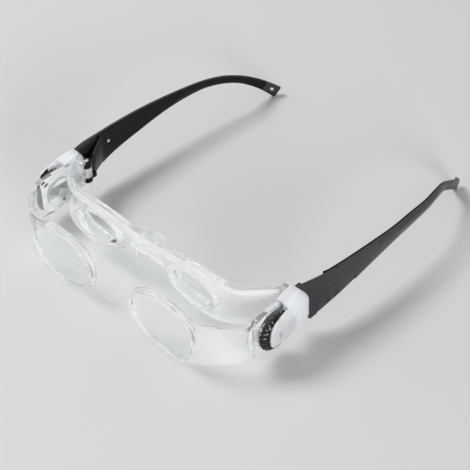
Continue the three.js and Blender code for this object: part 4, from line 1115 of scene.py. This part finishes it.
for stem, (make, slot, edge) in MIDDLE_PIECES.items():
    dress(stem, stem, rounded(make(), edge), OWN_FINISH.get(stem, slot))
for stem, (make, slot, edge) in PAIRED_PIECES.items():
    dress_both_sides(stem, stem, rounded(make(), edge), OWN_FINISH.get(stem, slot))
for stem, (make, finish, slot, edge) in CARRIER_PARTS.items():
    dress_both_sides(stem, "carrier", rounded(make(), edge), finish)
# Painted shade: a dark band along each cap's front edge
dress_both_sides("cap_edge_shade", "end_cap", rounded(cap_edge_shade(), 0), "black_plastic")


# Stage
FLOOR_SIZE = 3.0
FLOOR_GAP = 0.00002
FLOOR_SHADE = (0.69, 0.696, 0.694)
FLOOR_MOTTLE = 1.03
SURROUND_SHADE = (0.97, 0.98, 0.99)
# Strength of the surround where it is seen, and as a light on matt surfaces
SEEN_STRENGTH = 0.92
FILL_STRENGTH = 0.36
# A ray of less diffuse depth has met no matt surface
DIRECT_DEPTH = 0.5
# Lamps: name, place and width in metres, power in watts
LAMPS = [("key", (-1.09, -0.4, 1.6), 0.8, 22), ("fill", (1.7, -0.9, 0.4), 0.7, 26)]


def add_floor():
    half = FLOOR_SIZE / 2
    corners = [(-half, -half, 0), (half, -half, 0), (half, half, 0), (-half, half, 0)]
    mesh = bpy.data.meshes.new("floor")
    mesh.from_pydata(corners, [], [(0, 1, 2, 3)])
    floor = add_object("floor", mesh)
    floor.location.z = cad_box[0].z - FLOOR_GAP
    finish = Finish("floor")
    finish.tint(finish.noise(1.5, detail=2), FLOOR_SHADE, tuple(c * FLOOR_MOTTLE for c in FLOOR_SHADE))
    finish.set(Roughness=0.6, Specular_IOR_Level=0.2)
    mesh.materials.append(finish.material)


def add_world():
    """A pale surround, brighter to camera, gloss and glass than the light that it gives.

    A ray counts as seeing it only if no matt surface came before."""
    world = bpy.data.worlds.new("studio")
    bpy.context.scene.world = world
    world.use_nodes = True
    nodes, links = world.node_tree.nodes, world.node_tree.links
    background = nodes["Background"]
    background.inputs["Color"].default_value = (*SURROUND_SHADE, 1)
    path = nodes.new("ShaderNodeLightPath")

    def joined(operation, first, second):
        node = nodes.new("ShaderNodeMath")
        node.operation = operation
        links.new(first, node.inputs[0])
        links.new(second, node.inputs[1])
        return node.outputs["Value"]

    seen = joined("MAXIMUM", path.outputs["Is Camera Ray"], path.outputs["Is Glossy Ray"])
    seen = joined("MAXIMUM", seen, path.outputs["Is Transmission Ray"])
    direct = nodes.new("ShaderNodeMath")
    direct.operation = "LESS_THAN"
    direct.inputs[1].default_value = DIRECT_DEPTH
    links.new(path.outputs["Diffuse Depth"], direct.inputs[0])
    strength = nodes.new("ShaderNodeMapRange")
    strength.inputs["To Min"].default_value = FILL_STRENGTH
    strength.inputs["To Max"].default_value = SEEN_STRENGTH
    links.new(joined("MULTIPLY", seen, direct.outputs["Value"]), strength.inputs["Value"])
    links.new(strength.outputs["Result"], background.inputs["Strength"])


def add_lamp(name, place, size, power):
    data = bpy.data.lights.new(name, "AREA")
    data.shape = "DISK"
    data.size = size
    data.energy = power
    lamp = add_object(name, data)
    lamp.location = place
    lamp.rotation_mode = "QUATERNION"
    lamp.rotation_quaternion = (-Vector(place)).to_track_quat("-Z", "Y")
    lamp.visible_transmission = False


add_floor()
add_world()
for lamp in LAMPS:
    add_lamp(*lamp)
bpy.context.scene.view_settings.view_transform = "Standard"
